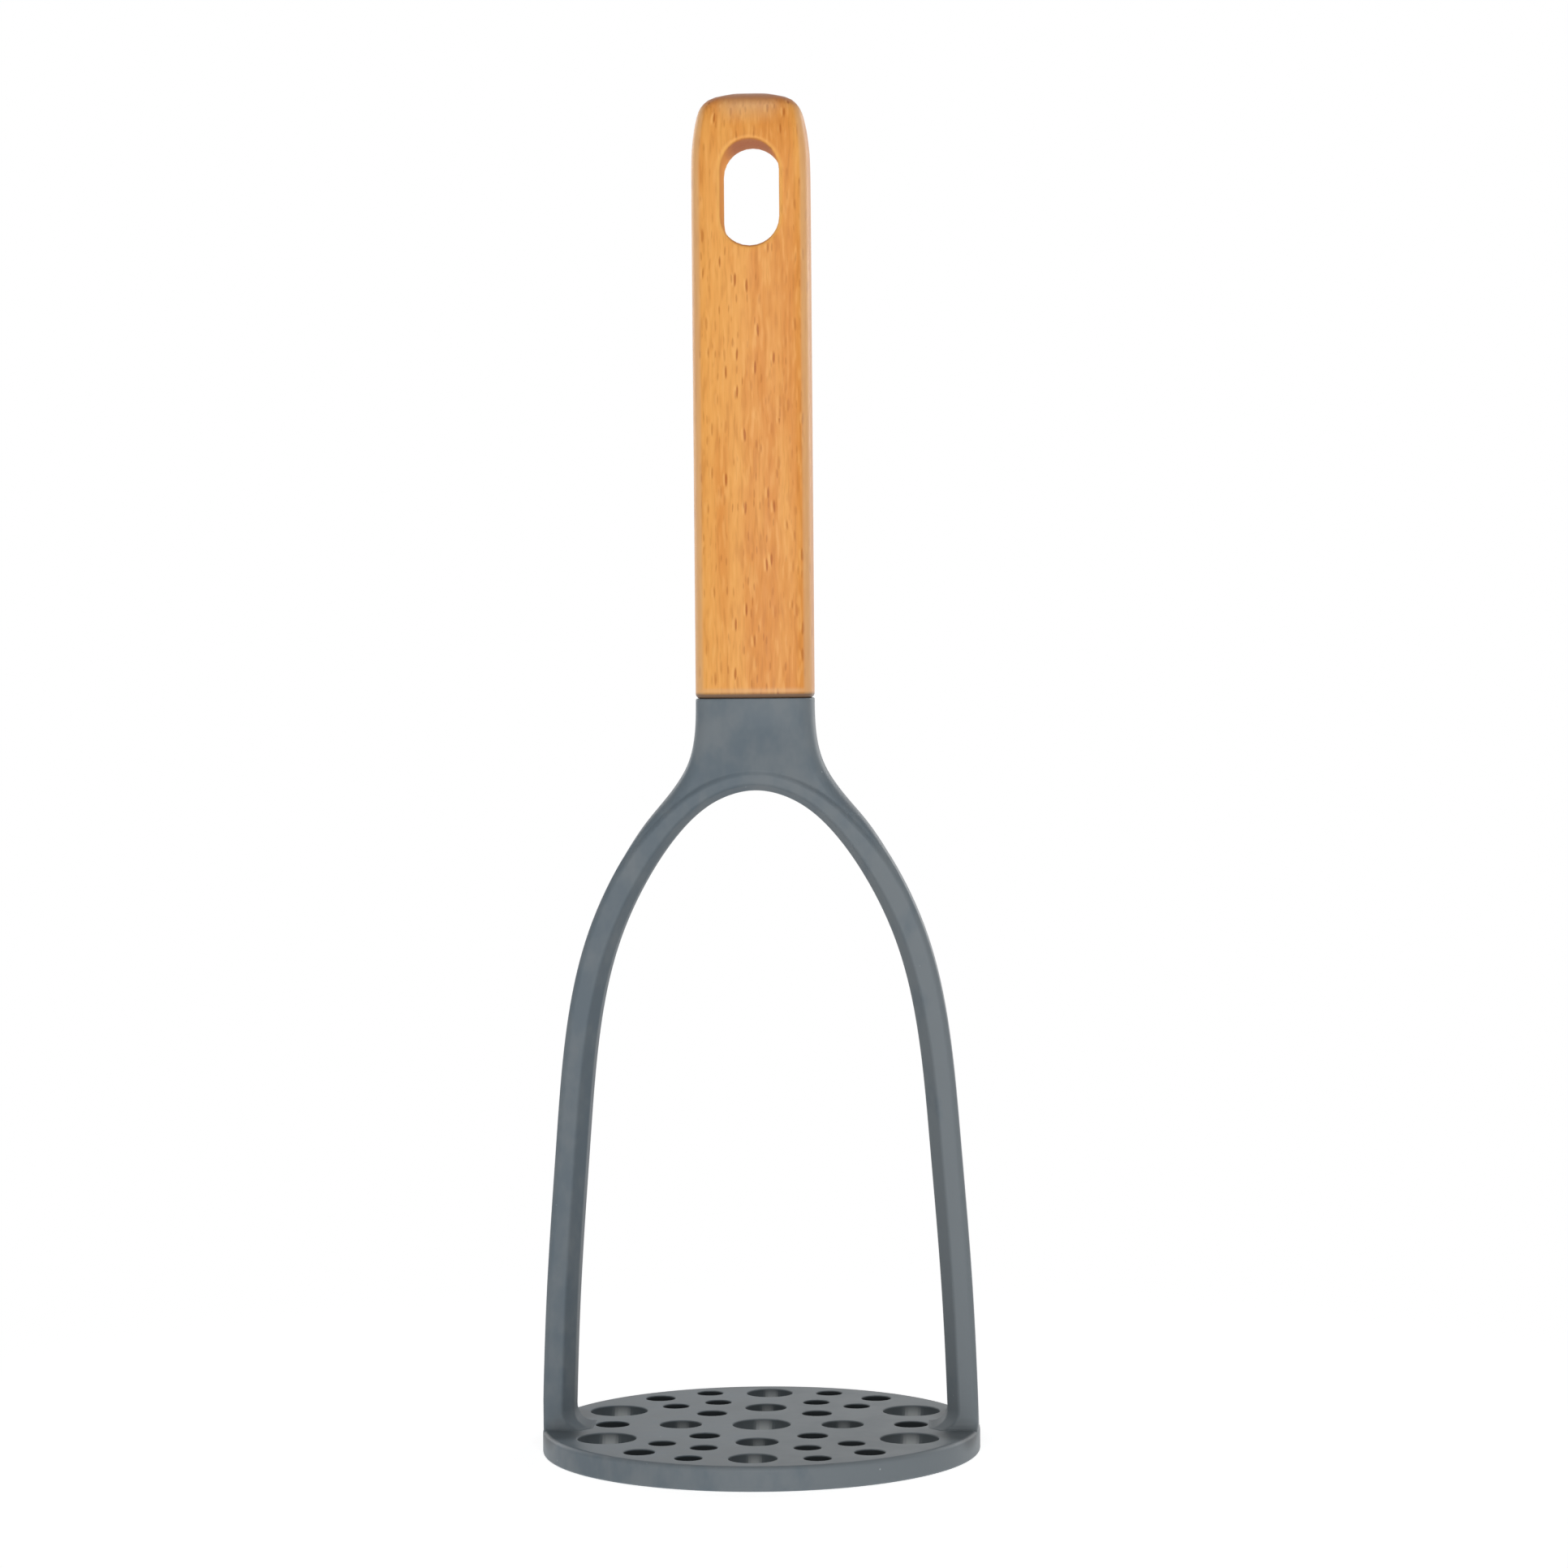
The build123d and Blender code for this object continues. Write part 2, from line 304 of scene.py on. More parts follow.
    def needles(
        self,
        spacing: Sizes,
        reach: Sizes,
        kept: float,
        shift: float,
        place: Socket | None = None,
    ) -> Socket:
        """Scattered thin needles, one in some of the cells of an uneven lattice.

        Args:
            spacing: The lattice's cell, in metres.
            reach: Half the size of a needle, as a share of its cell.
            kept: Share of the cells that hold a needle.
            shift: Offset of the lattice, in cells.
            place: The coordinates, or None for the object's own.

        Returns:
            How deep a point lies in a needle, from 0 to 1.
        """
        lattice = self.stretched(spacing, shift, place)
        cells = self.add("TexVoronoi", feature="F1", distance="EUCLIDEAN")
        cells.inputs["Scale"].default_value = 1.0
        self.feed(cells.inputs["Vector"], lattice)
        away = self.vector("SUBTRACT", lattice, cells.outputs["Position"])
        shaped = self.vector("DIVIDE", away, reach)
        near = self.spread(self.length(shaped), self.NEEDLE_EDGE, (1.0, 0.0))
        luck = self.fed(self.add("SeparateColor"), cells.outputs["Color"])
        holds = self.math("LESS_THAN", luck.outputs[0], kept)
        depth = self.spread(luck.outputs[1], (0.0, 1.0), self.NEEDLE_DEPTHS)
        return self.math("MULTIPLY", self.math("MULTIPLY", near, holds), depth)

    def bump(self, height: Socket, strength: float, depth: float) -> Socket:
        """A relief from a height pattern.

        Args:
            height: The pattern.
            strength: How much of the relief shows.
            depth: The relief's depth in metres.

        Returns:
            The bent normal's socket.
        """
        node = self.add("Bump")
        node.inputs["Strength"].default_value = strength
        node.inputs["Distance"].default_value = depth
        self.feed(node.inputs["Height"], height)
        return node.outputs["Normal"]

    def attribute(self, name: str) -> Socket:
        """Returns the value of one of the piece's own attributes."""
        node = self.add("Attribute", attribute_type="GEOMETRY", attribute_name=name)
        return node.outputs["Fac"]

    def finish(self, colour: Socket, roughness: object, specular: float) -> bpy.types.Node:
        """Joins colour and roughness in one principled shader and links it to the output.

        Args:
            colour: The base colour's socket.
            roughness: The roughness or its socket.
            specular: The specular level.

        Returns:
            The shader's node.
        """
        shader = self.add("BsdfPrincipled")
        self.feed(shader.inputs["Base Color"], colour)
        self.feed(shader.inputs["Roughness"], roughness)
        shader.inputs["Specular IOR Level"].default_value = specular
        self.fed(self.output, shader.outputs["BSDF"])
        return shader

    def seen(self) -> Socket:
        """Tells rays that look at a thing from those that only carry its light.

        Returns:
            A socket that is 1 on rays from the camera, in reflections and through glass, or else 0.
        """
        path = self.add("LightPath")
        seen = path.outputs["Is Camera Ray"]
        for name in ("Is Glossy Ray", "Is Transmission Ray"):
            seen = self.math("MAXIMUM", seen, path.outputs[name])
        return seen


@dataclass(frozen=True)
class BeechFinish:
    """Oiled beech with short dark flecks along the grain, which runs up the handle."""

    END_GRAIN = "end_grain"
    # The next two marks carry painted light: a sheen on edges and crown, and a brighter slot wall
    PAINTED_SHEEN = "painted_sheen"
    SLOT_WALL_LIGHT = "slot_wall_light"
    SEAM = "seam"

    pale: Colour = tint(0.83, 0.378, 0.086)
    warm: Colour = tint(0.74, 0.286, 0.052)
    light: Colour = tint(0.92, 0.475, 0.138)
    fleck: Colour = tint(0.42, 0.095, 0.002)
    # Painted light: a brighter colour for the slot's wall, which gets little lamp light
    cut: Colour = tint(1.0, 0.55, 0.16)
    end: Colour = tint(0.40, 0.125, 0.040)
    # The colour of the painted sheen, a pale painted highlight
    edge: Colour = tint(0.74, 0.43, 0.20)
    seam: Colour = tint(0.19, 0.115, 0.070)
    sway: Sizes = (2.5 * MM, 2.5 * MM, 8 * MM)
    sway_reach: float = 0.9 * MM
    band: Sizes = (4 * MM, 7 * MM, 50 * MM)
    streak: Sizes = (0.7 * MM, 1.2 * MM, 6 * MM)
    fibre: Sizes = (0.28 * MM, 0.4 * MM, 7 * MM)
    fleck_cell: Sizes = (1.9 * MM, 1.4 * MM, 6 * MM)
    fleck_reach: Sizes = (0.17, 0.42, 0.30)
    fleck_shift: float = 0.3
    flecked_share: float = 0.9
    spark_beside: float = 0.5 * MM
    stitch_cell: Sizes = (1.2 * MM, 1.0 * MM, 4.2 * MM)
    stitch_reach: Sizes = (0.20, 0.40, 0.30)
    stitch_shift: float = 3.7
    stitched_share: float = 0.7
    half_width: float = 12 * MM
    lean: Range = (-0.10, 0.10)
    warm_bands: Range = (0.34, 0.66)
    dark_streaks: Range = (0.50, 0.75)
    light_streaks: Range = (0.48, 0.28)
    dark_fibres: Range = (0.50, 0.75)
    dark_streak_share: float = 0.25
    light_streak_share: float = 0.40
    dark_fibre_share: float = 0.20
    spark_share: float = 0.6
    stitch_share: float = 0.45
    fleck_share: float = 0.80
    painted_sheen_share: float = 0.70
    slot_light_share: float = 0.9
    end_share: float = 0.75
    satin: Range = (0.36, 0.46)
    bore_dullness: float = 0.6
    specular: float = 0.26
    fleck_relief: float = 0.3
    relief_strength: float = 0.25
    relief_depth: float = 0.05 * MM

    def flecks(self, sketch: NodeSketch, place: Socket) -> Socket:
        """Returns the dark flecks' pattern, read at a place."""
        return sketch.needles(self.fleck_cell, self.fleck_reach, self.flecked_share, self.fleck_shift, place)

    def layers(self, sketch: NodeSketch, grain: Socket, fibres: Socket, flecks: Socket) -> Layers:
        """Lists the wood's colours over the pale one: the grain, warmer to the right, then a painted sheen
        on edges and crown, painted light on the slot's wall, and end grain.

        Args:
            sketch: The material's nodes.
            grain: Coordinates that sway with the grain.
            fibres: The fine fibres.
            flecks: The dark flecks.

        Returns:
            Pairs of how much of a colour shows and the colour, from the lowest up.
        """
        bands = sketch.noise(sketch.stretched(self.band, 0.0, grain))
        streaks = sketch.noise(sketch.stretched(self.streak, 0.0, grain), detail=1.0)
        stitches = sketch.needles(
            self.stitch_cell, self.stitch_reach, self.stitched_share, self.stitch_shift, grain
        )
        sparks = self.flecks(sketch, sketch.vector("ADD", grain, (self.spark_beside, 0.0, 0.0)))
        lean = sketch.spread(sketch.coordinate("X"), (-self.half_width, self.half_width), self.lean)
        return [
            (sketch.spread(sketch.math("ADD", bands, lean), self.warm_bands), self.warm),
            (sketch.spread(streaks, self.dark_streaks, (0.0, self.dark_streak_share)), self.fleck),
            (sketch.spread(streaks, self.light_streaks, (0.0, self.light_streak_share)), self.light),
            (sketch.spread(fibres, self.dark_fibres, (0.0, self.dark_fibre_share)), self.fleck),
            (sketch.math("MULTIPLY", sparks, self.spark_share), self.light),
            (sketch.math("MULTIPLY", stitches, self.stitch_share), self.fleck),
            (sketch.math("MULTIPLY", flecks, self.fleck_share), self.fleck),
            # Painted sheen: a pale painted highlight on the side roundings, above the seam and on the crown
            (sketch.math("MULTIPLY", sketch.attribute(self.PAINTED_SHEEN), self.painted_sheen_share), self.edge),
            # Painted light on the slot's wall, which gets little lamp light
            (sketch.math("MULTIPLY", sketch.attribute(self.SLOT_WALL_LIGHT), self.slot_light_share), self.cut),
            (sketch.math("MULTIPLY", sketch.attribute(self.END_GRAIN), self.end_share), self.end),
            (sketch.attribute(self.SEAM), self.seam),
        ]

    def material(self) -> bpy.types.Material:
        """Builds the wood's material.

        Returns:
            The material.
        """
        sketch = NodeSketch(bpy.data.materials.new("oiled_beech"))
        grain = sketch.wandering(self.sway, self.sway_reach)
        fibres = sketch.noise(sketch.stretched(self.fibre, 0.0, grain), roughness=0.6)
        flecks = self.flecks(sketch, grain)
        colour = sketch.layered(self.pale, self.layers(sketch, grain, fibres, flecks))
        dull = sketch.math("MULTIPLY", sketch.attribute(self.SLOT_WALL_LIGHT), self.bore_dullness)
        roughness = sketch.math("ADD", sketch.spread(fibres, NOISE_RANGE, self.satin), dull)
        shader = sketch.finish(colour, roughness, self.specular)
        relief = sketch.math("SUBTRACT", fibres, sketch.math("MULTIPLY", flecks, self.fleck_relief))
        sketch.feed(shader.inputs["Normal"], sketch.bump(relief, self.relief_strength, self.relief_depth))
        return sketch.owner


@dataclass(frozen=True)
class NylonFinish:
    """Moulded slate grey nylon with a satin skin, faint clouds and a few pale specks, with painted shade,
    painted glints and painted light to the right.
    """

    # Attributes of painted shade and of a painted glint
    PAINTED_SHADE = "painted_shade"
    GLINT = "glint"

    colour: Colour = tint(0.120, 0.151, 0.176)
    pale_tone: Colour = tint(0.166, 0.190, 0.206)
    speck: Colour = tint(0.34, 0.37, 0.38)
    # The colour of painted shade in holes, on the arch's inner wall and chamfer and by the feet
    deep: Colour = tint(0.010, 0.013, 0.014)
    # The colour of a painted glint on the wide holes' walls
    gleam: Colour = tint(0.90, 0.93, 0.93)
    cloud: Sizes = (7 * MM, 7 * MM, 11 * MM)
    grain: Sizes = (0.5 * MM, 0.5 * MM, 0.5 * MM)
    speck_cell: Sizes = (5 * MM, 5 * MM, 5 * MM)
    speck_reach: Sizes = (0.05, 0.05, 0.05)
    half_width: float = 45 * MM
    pale_tone_below: float = 140 * MM
    # Where the painted dark patches by the feet lie: a painted reflection of the legs in the plate's top,
    # with painted shade
    foot_place: Sizes = (41.0 * MM, 11.5 * MM, 5.0 * MM)
    foot_reach: Sizes = (8.5 * MM, 8.5 * MM, 3.6 * MM)
    foot_edge: Range = (0.35, 1.0)
    speckled_share: float = 0.5
    speck_shift: float = 0.4
    # lean paints light: the nylon turns paler to the right; sink makes it paler towards the plate
    lean: Range = (-0.10, 0.20)
    sink: Range = (0.06, -0.04)
    pale_tone_clouds: Range = (0.32, 0.68)
    foot_share: float = 0.55
    hollow_share: float = 0.95
    satin: Range = (0.40, 0.46)
    hollow_dullness: float = 0.45
    specular: float = 0.18
    relief_strength: float = 0.10
    relief_depth: float = 0.02 * MM

    def near_foot(self, sketch: NodeSketch) -> Socket:
        """Painted dark patches in front of the feet and behind them: a painted reflection of the legs in the
        satin top, with painted shade.

        Args:
            sketch: The material's nodes.

        Returns:
            How far a point lies in such a patch, from 0 to 1.
        """
        folded = sketch.fed(sketch.add("VectorMath", operation="ABSOLUTE"), sketch.place())
        away = sketch.vector("SUBTRACT", folded.outputs["Vector"], self.foot_place)
        away = sketch.vector("DIVIDE", away, self.foot_reach)
        return sketch.spread(sketch.length(away), self.foot_edge, (1.0, 0.0))

    def pale_tone_and_light(self, sketch: NodeSketch, clouds: Socket) -> Socket:
        """Where the nylon turns paler: in clouds, a little more to the right as painted light, and towards
        the plate.

        Args:
            sketch: The material's nodes.
            clouds: The clouds' pattern.

        Returns:
            How pale a point is, from 0 to 1.
        """
        lean = sketch.spread(sketch.coordinate("X"), (-self.half_width, self.half_width), self.lean)
        sink = sketch.spread(sketch.coordinate("Z"), (0.0, self.pale_tone_below), self.sink)
        return sketch.spread(sketch.math("ADD", clouds, sketch.math("ADD", lean, sink)), self.pale_tone_clouds)

    def material(self) -> bpy.types.Material:
        """Builds the nylon's material.

        Returns:
            The material.
        """
        sketch = NodeSketch(bpy.data.materials.new("slate_nylon"))
        clouds = sketch.noise(sketch.stretched(self.cloud), detail=3.0, roughness=0.6)
        grain = sketch.noise(sketch.stretched(self.grain), detail=1.0)
        painted_shade = sketch.attribute(self.PAINTED_SHADE)
        foot_shade = sketch.math("MULTIPLY", self.near_foot(sketch), self.foot_share)
        hollow_shade = sketch.math("MULTIPLY", painted_shade, self.hollow_share)
        specks = sketch.needles(self.speck_cell, self.speck_reach, self.speckled_share, self.speck_shift)
        colour = sketch.layered(self.colour, [
            # Paler tone in clouds, with painted light to the right
            (self.pale_tone_and_light(sketch, clouds), self.pale_tone),
            (specks, self.speck),
            # Painted shade by the feet, in the holes and on the arch's inner wall and chamfer
            (sketch.math("MAXIMUM", foot_shade, hollow_shade), self.deep),
            # Painted glint: a pale painted highlight on the wide holes' front and back walls
            (sketch.attribute(self.GLINT), self.gleam),
        ])
        dull = sketch.math("MULTIPLY", painted_shade, self.hollow_dullness)
        roughness = sketch.math("ADD", sketch.spread(clouds, NOISE_RANGE, self.satin), dull)
        shader = sketch.finish(colour, roughness, self.specular)
        sketch.feed(shader.inputs["Normal"], sketch.bump(grain, self.relief_strength, self.relief_depth))
        return sketch.owner


@dataclass(frozen=True)
class AdhesiveFinish:
    """Cured amber adhesive, hidden in the handle's bore."""

    colour: Colour = tint(0.55, 0.42, 0.20)
    pale: Colour = tint(0.62, 0.50, 0.28)
    cloud: Sizes = (3 * MM, 3 * MM, 3 * MM)
    roughness: float = 0.3
    specular: float = 0.5

    def material(self) -> bpy.types.Material:
        """Builds the adhesive's material.

        Returns:
            The material.
        """
        sketch = NodeSketch(bpy.data.materials.new("cured_adhesive"))
        clouds = sketch.noise(sketch.stretched(self.cloud))
        colour = sketch.layered(self.colour, [(sketch.spread(clouds, NOISE_RANGE), self.pale)])
        sketch.finish(colour, self.roughness, self.specular)
        return sketch.owner


@dataclass(frozen=True)
class Pillow:
    """Rounded rectangle with gently bulged sides: the cross-section of handle and collar."""

    half_width: float
    half_depth: float
    rounding: float
    side_bulge: float
    face_bulge: float

    def side(self, y: float) -> tuple[float, float]:
        """Returns the side's distance from the middle at y, and its tilt there."""
        bulge = self.side_bulge / (self.half_depth - self.face_bulge) ** 2
        return self.half_width - bulge * y * y, math.atan(2 * bulge * y)

    def face(self, x: float) -> tuple[float, float]:
        """Returns the face's distance from the middle at x, and its tilt there."""
        bulge = self.face_bulge / (self.half_width - self.side_bulge) ** 2
        return self.half_depth - bulge * x * x, math.atan(2 * bulge * x)

    def corner(self) -> tuple[float, float, float, float]:
        """Finds the rounding that touches side and face.

        Returns:
            Its centre's x and y, the side's tilt and the face's tilt where it touches them.
        """
        x = self.half_width - self.rounding
        y = self.half_depth - self.rounding
        side_tilt = face_tilt = 0.0
        for _ in range(HALVINGS):
            side, side_tilt = self.side(y + self.rounding * math.sin(side_tilt))
            face, face_tilt = self.face(x + self.rounding * math.sin(face_tilt))
            x = side - self.rounding * math.cos(side_tilt)
            y = face - self.rounding * math.cos(face_tilt)
        return x, y, side_tilt, face_tilt

    def lengths(self) -> Sizes:
        """Measures the quarter's three stretches.

        Returns:
            Their lengths: along the face, round the corner and down the side.
        """
        x, y, side_tilt, face_tilt = self.corner()
        face = x + self.rounding * math.sin(face_tilt)
        bend = self.rounding * (math.pi / 2 - face_tilt - side_tilt)
        return face, bend, y + self.rounding * math.sin(side_tilt)

    def point(self, share: float) -> tuple[float, float]:
        """Reads the quarter's outline.

        Args:
            share: Share of the way from the face's middle round the corner to the side's middle.

        Returns:
            The point's x and y.
        """
        face, bend, side = self.lengths()
        left = share * (face + bend + side)
        if left <= face:
            return left, self.face(left)[0]
        if left <= face + bend:
            x, y, _, face_tilt = self.corner()
            turn = math.pi / 2 - face_tilt - (left - face) / self.rounding
            return x + self.rounding * math.cos(turn), y + self.rounding * math.sin(turn)
        height = max(0.0, face + bend + side - left)
        return self.side(height)[0], height

    def share_at(self, across: float) -> float:
        """Finds a place on the face or its corner.

        Args:
            across: The place's distance from the middle, across.

        Returns:
            Its share of the way from the face's middle to the side's.
        """
        face, bend, side = self.lengths()
        if across <= face:
            return across / (face + bend + side)
        x, _, side_tilt, face_tilt = self.corner()
        lean = max(side_tilt, math.acos(max(-1.0, min(1.0, (across - x) / self.rounding))))
        return (face + self.rounding * (math.pi / 2 - face_tilt - lean)) / (face + bend + side)

    def quarter(self, side_steps: int, corner_steps: int, face_places: list[float]) -> Chain:
        """Points of one quarter, from the side's middle round the corner to the face's middle.

        Args:
            side_steps: Steps along the side.
            corner_steps: Steps round the corner.
            face_places: Distances from the middle, as shares of the face's flat half, falling to 0.

        Returns:
            The points, on the positive side of both axes.
        """
        x, y, side_tilt, face_tilt = self.corner()
        low = y + self.rounding * math.sin(side_tilt)
        points = []
        for step in range(side_steps):
            height = low * step / side_steps
            points.append(Vector((self.side(height)[0], height, 0)))
        for step in range(corner_steps):
            share = step / corner_steps
            turn = side_tilt + (math.pi / 2 - face_tilt - side_tilt) * share
            points.append(Vector((x, y, 0)) + self.rounding * Vector((math.cos(turn), math.sin(turn), 0)))
        edge = x + self.rounding * math.sin(face_tilt)
        for place in face_places:
            points.append(Vector((edge * place, self.face(edge * place)[0], 0)))
        return points


# The outline that handle and collar share at the seam
GRIP = Pillow(12.075 * MM, 9.0 * MM, 3.4 * MM, 0.3 * MM, 1.2 * MM)


def grown(
    bm: Shape,
    edges: Edges,
    place: Callable[[bmesh.types.BMVert], Vector],
) -> Edges:
    """Extrudes edges and moves the new points to their places.

    Args:
        bm: The shape.
        edges: The edges to extrude.
        place: Gives a new point's place.

    Returns:
        The new edges along the front.
    """
    made = bmesh.ops.extrude_edge_only(bm, edges=edges)["geom"]
    fresh = {item for item in made if isinstance(item, bmesh.types.BMVert)}
    for vert in fresh:
        vert.co = place(vert)
    fronts = [item for item in made if isinstance(item, bmesh.types.BMEdge)]
    return [edge for edge in fronts if all(vert in fresh for vert in edge.verts)]


class Loft:
    """A skin that grows station by station: each station extrudes the last one's edges."""

    COLUMN = "column"

    def __init__(self, points: Chain) -> None:
        """Lays the first station, an open chain.

        Args:
            points: The first station's points.
        """
        self.bm = bmesh.new()
        self.column = self.bm.verts.layers.int.new(self.COLUMN)
        first = bmesh.ops.create_circle(self.bm, segments=len(points), radius=1, cap_ends=False)["verts"]
        for number, (vert, point) in enumerate(zip(first, points)):
            vert[self.column] = number
            vert.co = point
        ends = {0, len(points) - 1}
        seam = [edge for edge in self.bm.edges if {vert[self.column] for vert in edge.verts} == ends]
        bmesh.ops.delete(self.bm, geom=seam, context="EDGES")
        self.front = list(self.bm.edges)

    def grow(self, points: Chain) -> None:
        """Extrudes the front edges to the next station's points."""
        self.front = grown(self.bm, self.front, lambda vert: points[vert[self.column]])


def softened(corners: Chain, reaches: list[float], steps: int) -> Chain:
    """Rounds the corners of a chain.

    Args:
        corners: The chain's points.
        reaches: How far each inner corner's rounding reaches along its two sides.
        steps: Steps round each corner.

    Returns:
        The points of the softened chain.
    """
    points = [corners[0]]
    for before, corner, after, reach in zip(corners, corners[1:], corners[2:], reaches):
        start = corner + (before - corner).normalized() * min(reach, (before - corner).length / 2)
        end = corner + (after - corner).normalized() * min(reach, (after - corner).length / 2)
        for step in range(steps + 1):
            share = step / steps
            points.append(start.lerp(corner, share).lerp(corner.lerp(end, share), share))
    points.append(corners[-1])
    return points


def along(chain: Chain, share: float) -> Vector:
    """Finds a point on a chain.

    Args:
        chain: The chain's points.
        share: The point's share of the chain's length.

    Returns:
        The point.
    """
    left = share * sum((b - a).length for a, b in zip(chain, chain[1:]))
    for a, b in zip(chain, chain[1:]):
        width = (b - a).length
        if left <= width and width > 0:
            return a.lerp(b, left / width)
        left -= width
    return chain[-1].copy()


def closed_skin(bm: Shape, axes: str) -> Shape:
    """Mirrors part of a skin into the whole and closes its seams.

    Args:
        bm: The part of the skin.
        axes: The axes to mirror across, such as XY.

    Returns:
        The whole skin, with its faces turned outwards.
    """
    for axis in axes:
        number = "XYZ".index(axis)
        flat = [face for face in bm.faces if all(abs(vert.co[number]) < MERGE for vert in face.verts)]
        bmesh.ops.delete(bm, geom=flat, context="FACES")
        bmesh.ops.mirror(bm, geom=bm.verts[:] + bm.edges[:] + bm.faces[:], axis=axis, merge_dist=MERGE)
    bmesh.ops.remove_doubles(bm, verts=bm.verts, dist=MERGE)
    bmesh.ops.dissolve_degenerate(bm, edges=bm.edges, dist=MERGE)
    loose = [vert for vert in bm.verts if not vert.link_faces]
    bmesh.ops.delete(bm, geom=loose, context="VERTS")
    bmesh.ops.recalc_face_normals(bm, faces=bm.faces)
    return bm


def settle(bm: Shape, name: str) -> bpy.types.Object:
    """Makes a smooth object from a finished shape.

    Args:
        bm: The finished shape, which is freed.
        name: The object's name.

    Returns:
        The object, linked to the scene.
    """
    open_edges = sum(1 for edge in bm.edges if not edge.is_manifold)
    mesh = bpy.data.meshes.new(name)
    bm.to_mesh(mesh)
    bm.free()
    mesh.shade_smooth()
    piece = bpy.data.objects.new(name, mesh)
    bpy.context.scene.collection.objects.link(piece)
    piece.modifiers.new("even_shading", "WEIGHTED_NORMAL")
    log.info("%s: %d faces, %d open edges", name, len(mesh.polygons), open_edges)
    return piece


@dataclass
class Handle:
    """Flat beech handle with a crowned top, a hang slot and the blind bore for the tang."""

    low: float = SEAM_HEIGHT
    high: float = field(default_factory=lambda: cad_box[1][2])
    grip: Pillow = GRIP
    end_rounding: float = 1.0 * MM
    crown_length: float = 16.0 * MM
    slot_half_width: float = 6.0 * MM
    slot_half_length: float = 10.7 * MM
    slot_below_top: float = 9.85 * MM
    mouth_rounding: float = 1.0 * MM
    bore_radius: float = 5.7 * MM
    bore_depth: float = 39.2 * MM
    drill_tip_share: float = 0.6
    side_steps: int = 6
    corner_steps: int = 9
    window_half: float = 8.3 * MM
    window_steps: int = 8
    mouth_steps: int = 6
    end_steps: int = 6
    crown_steps: int = 14
    crown_crowding: float = 1.5
    shank_step: float = 3.0 * MM
    rim_step: float = 0.35 * MM
    rim_rows: int = 4
    lining_shares: tuple[float, ...] = (0.6, 0.3, 0.0)
    end_tilt: Range = (0.40, 0.90)
    # Where the painted sheen lies: on the side roundings, in a line above the seam and in a patch on the
    # crown
    edge_tilt: Range = (0.42, 0.62)
    side_tilt: Range = (0.90, 0.995)
    side_fading: float = 0.6
    rim_start: Range = (0.0, 0.4 * MM)
    rim_stop: Range = (1.2 * MM, 0.8 * MM)
    rim_sheen: float = 0.8
    crown_below: Range = (7.5 * MM, 3.0 * MM)
    crown_across: Range = (7.0 * MM, 3.5 * MM)
    crown_sheen: float = 0.7
    # How the painted light on the slot's wall is weaker where the wall lies level
    upright_tilt: Range = (0.8, 0.3)
    level_share: float = 0.45
    seam_stop: Range = (0.3 * MM, -0.3 * MM)
    crown_shares: Table = field(default_factory=lambda: [
        (0.00, 0.640), (0.045, 0.402), (0.11, 0.246), (0.23, 0.132), (0.36, 0.083),
        (0.54, 0.040), (0.78, 0.010), (1.00, 0.002), (1.40, 0.000),
    ])

    def slot_middle(self) -> float:
        """Returns the height of the slot's middle."""
        return self.high - self.slot_below_top - self.slot_half_length

    def narrowing(self, height: float) -> float:
        """Returns how far the crown has narrowed at a height, as a share of half the width."""
        return eased(self.crown_shares, (self.high - height) / self.crown_length)

    def section(self, narrowing: float, inset: float = 0.0) -> Chain:
        """Half section at the front, from the left side's middle to the right side's.

        Args:
            narrowing: Share by which the crown has narrowed it.
            inset: Distance by which the end's rounding has drawn it in.

        Returns:
            The points, at height 0.
        """
        pillow = Pillow(
            self.grip.half_width * (1 - narrowing) - inset,
            self.grip.half_depth * (1 - narrowing) - inset,
            self.grip.rounding * (1 - narrowing / 2) - inset,
            self.grip.side_bulge * (1 - narrowing),
            self.grip.face_bulge * (1 - narrowing),
        )
        window = self.window_half / self.grip.lengths()[0]
        half_steps = self.window_steps // 2
        places = [1.0] + [window * step / half_steps for step in range(half_steps, -1, -1)]
        quarter = pillow.quarter(self.side_steps, self.corner_steps, places)
        left = [Vector((-p.x, -p.y, 0)) for p in quarter]
        right = [Vector((p.x, -p.y, 0)) for p in reversed(quarter[:-1])]
        return left + right

    def lifted(self, points: Chain, height: float) -> Chain:
        """Returns points moved up to a height."""
        return [Vector((p.x, p.y, height)) for p in points]

    def bore_ring(self, radius: float, count: int) -> Chain:
        """Returns a number of points on a half ring of the bore, from left to right round the front."""
        turns = [math.pi * step / (count - 1) for step in range(count)]
        return [Vector((-radius * math.cos(turn), -radius * math.sin(turn), 0)) for turn in turns]

    def heights(self) -> list[float]:
        """Lists the stations up the shank and the crown, with the slot's window among them.

        Returns:
            Their heights.
        """
        middle = self.slot_middle()
        straight = self.slot_half_length - self.slot_half_width
        half_steps = self.window_steps // 2
        bottom = self.low + self.end_rounding
        rows = [bottom + self.rim_step * step for step in range(self.rim_rows)]
        bottom = rows[-1] + self.rim_step
        window_low = middle - straight - self.window_half
        count = round((window_low - bottom) / self.shank_step)
        rows += [bottom + (window_low - bottom) * step / count for step in range(count)]
        rows += [window_low + self.window_half * step / half_steps for step in range(half_steps)]
        rows += [middle - straight + 2 * straight * step / half_steps for step in range(half_steps)]
        rows += [middle + straight + self.window_half * step / half_steps for step in range(half_steps + 1)]
        left = self.high - rows[-1]
        turns = [math.pi / 2 * step / self.crown_steps for step in range(1, self.crown_steps + 1)]
        return rows + [self.high - left * math.cos(turn) ** self.crown_crowding for turn in turns]

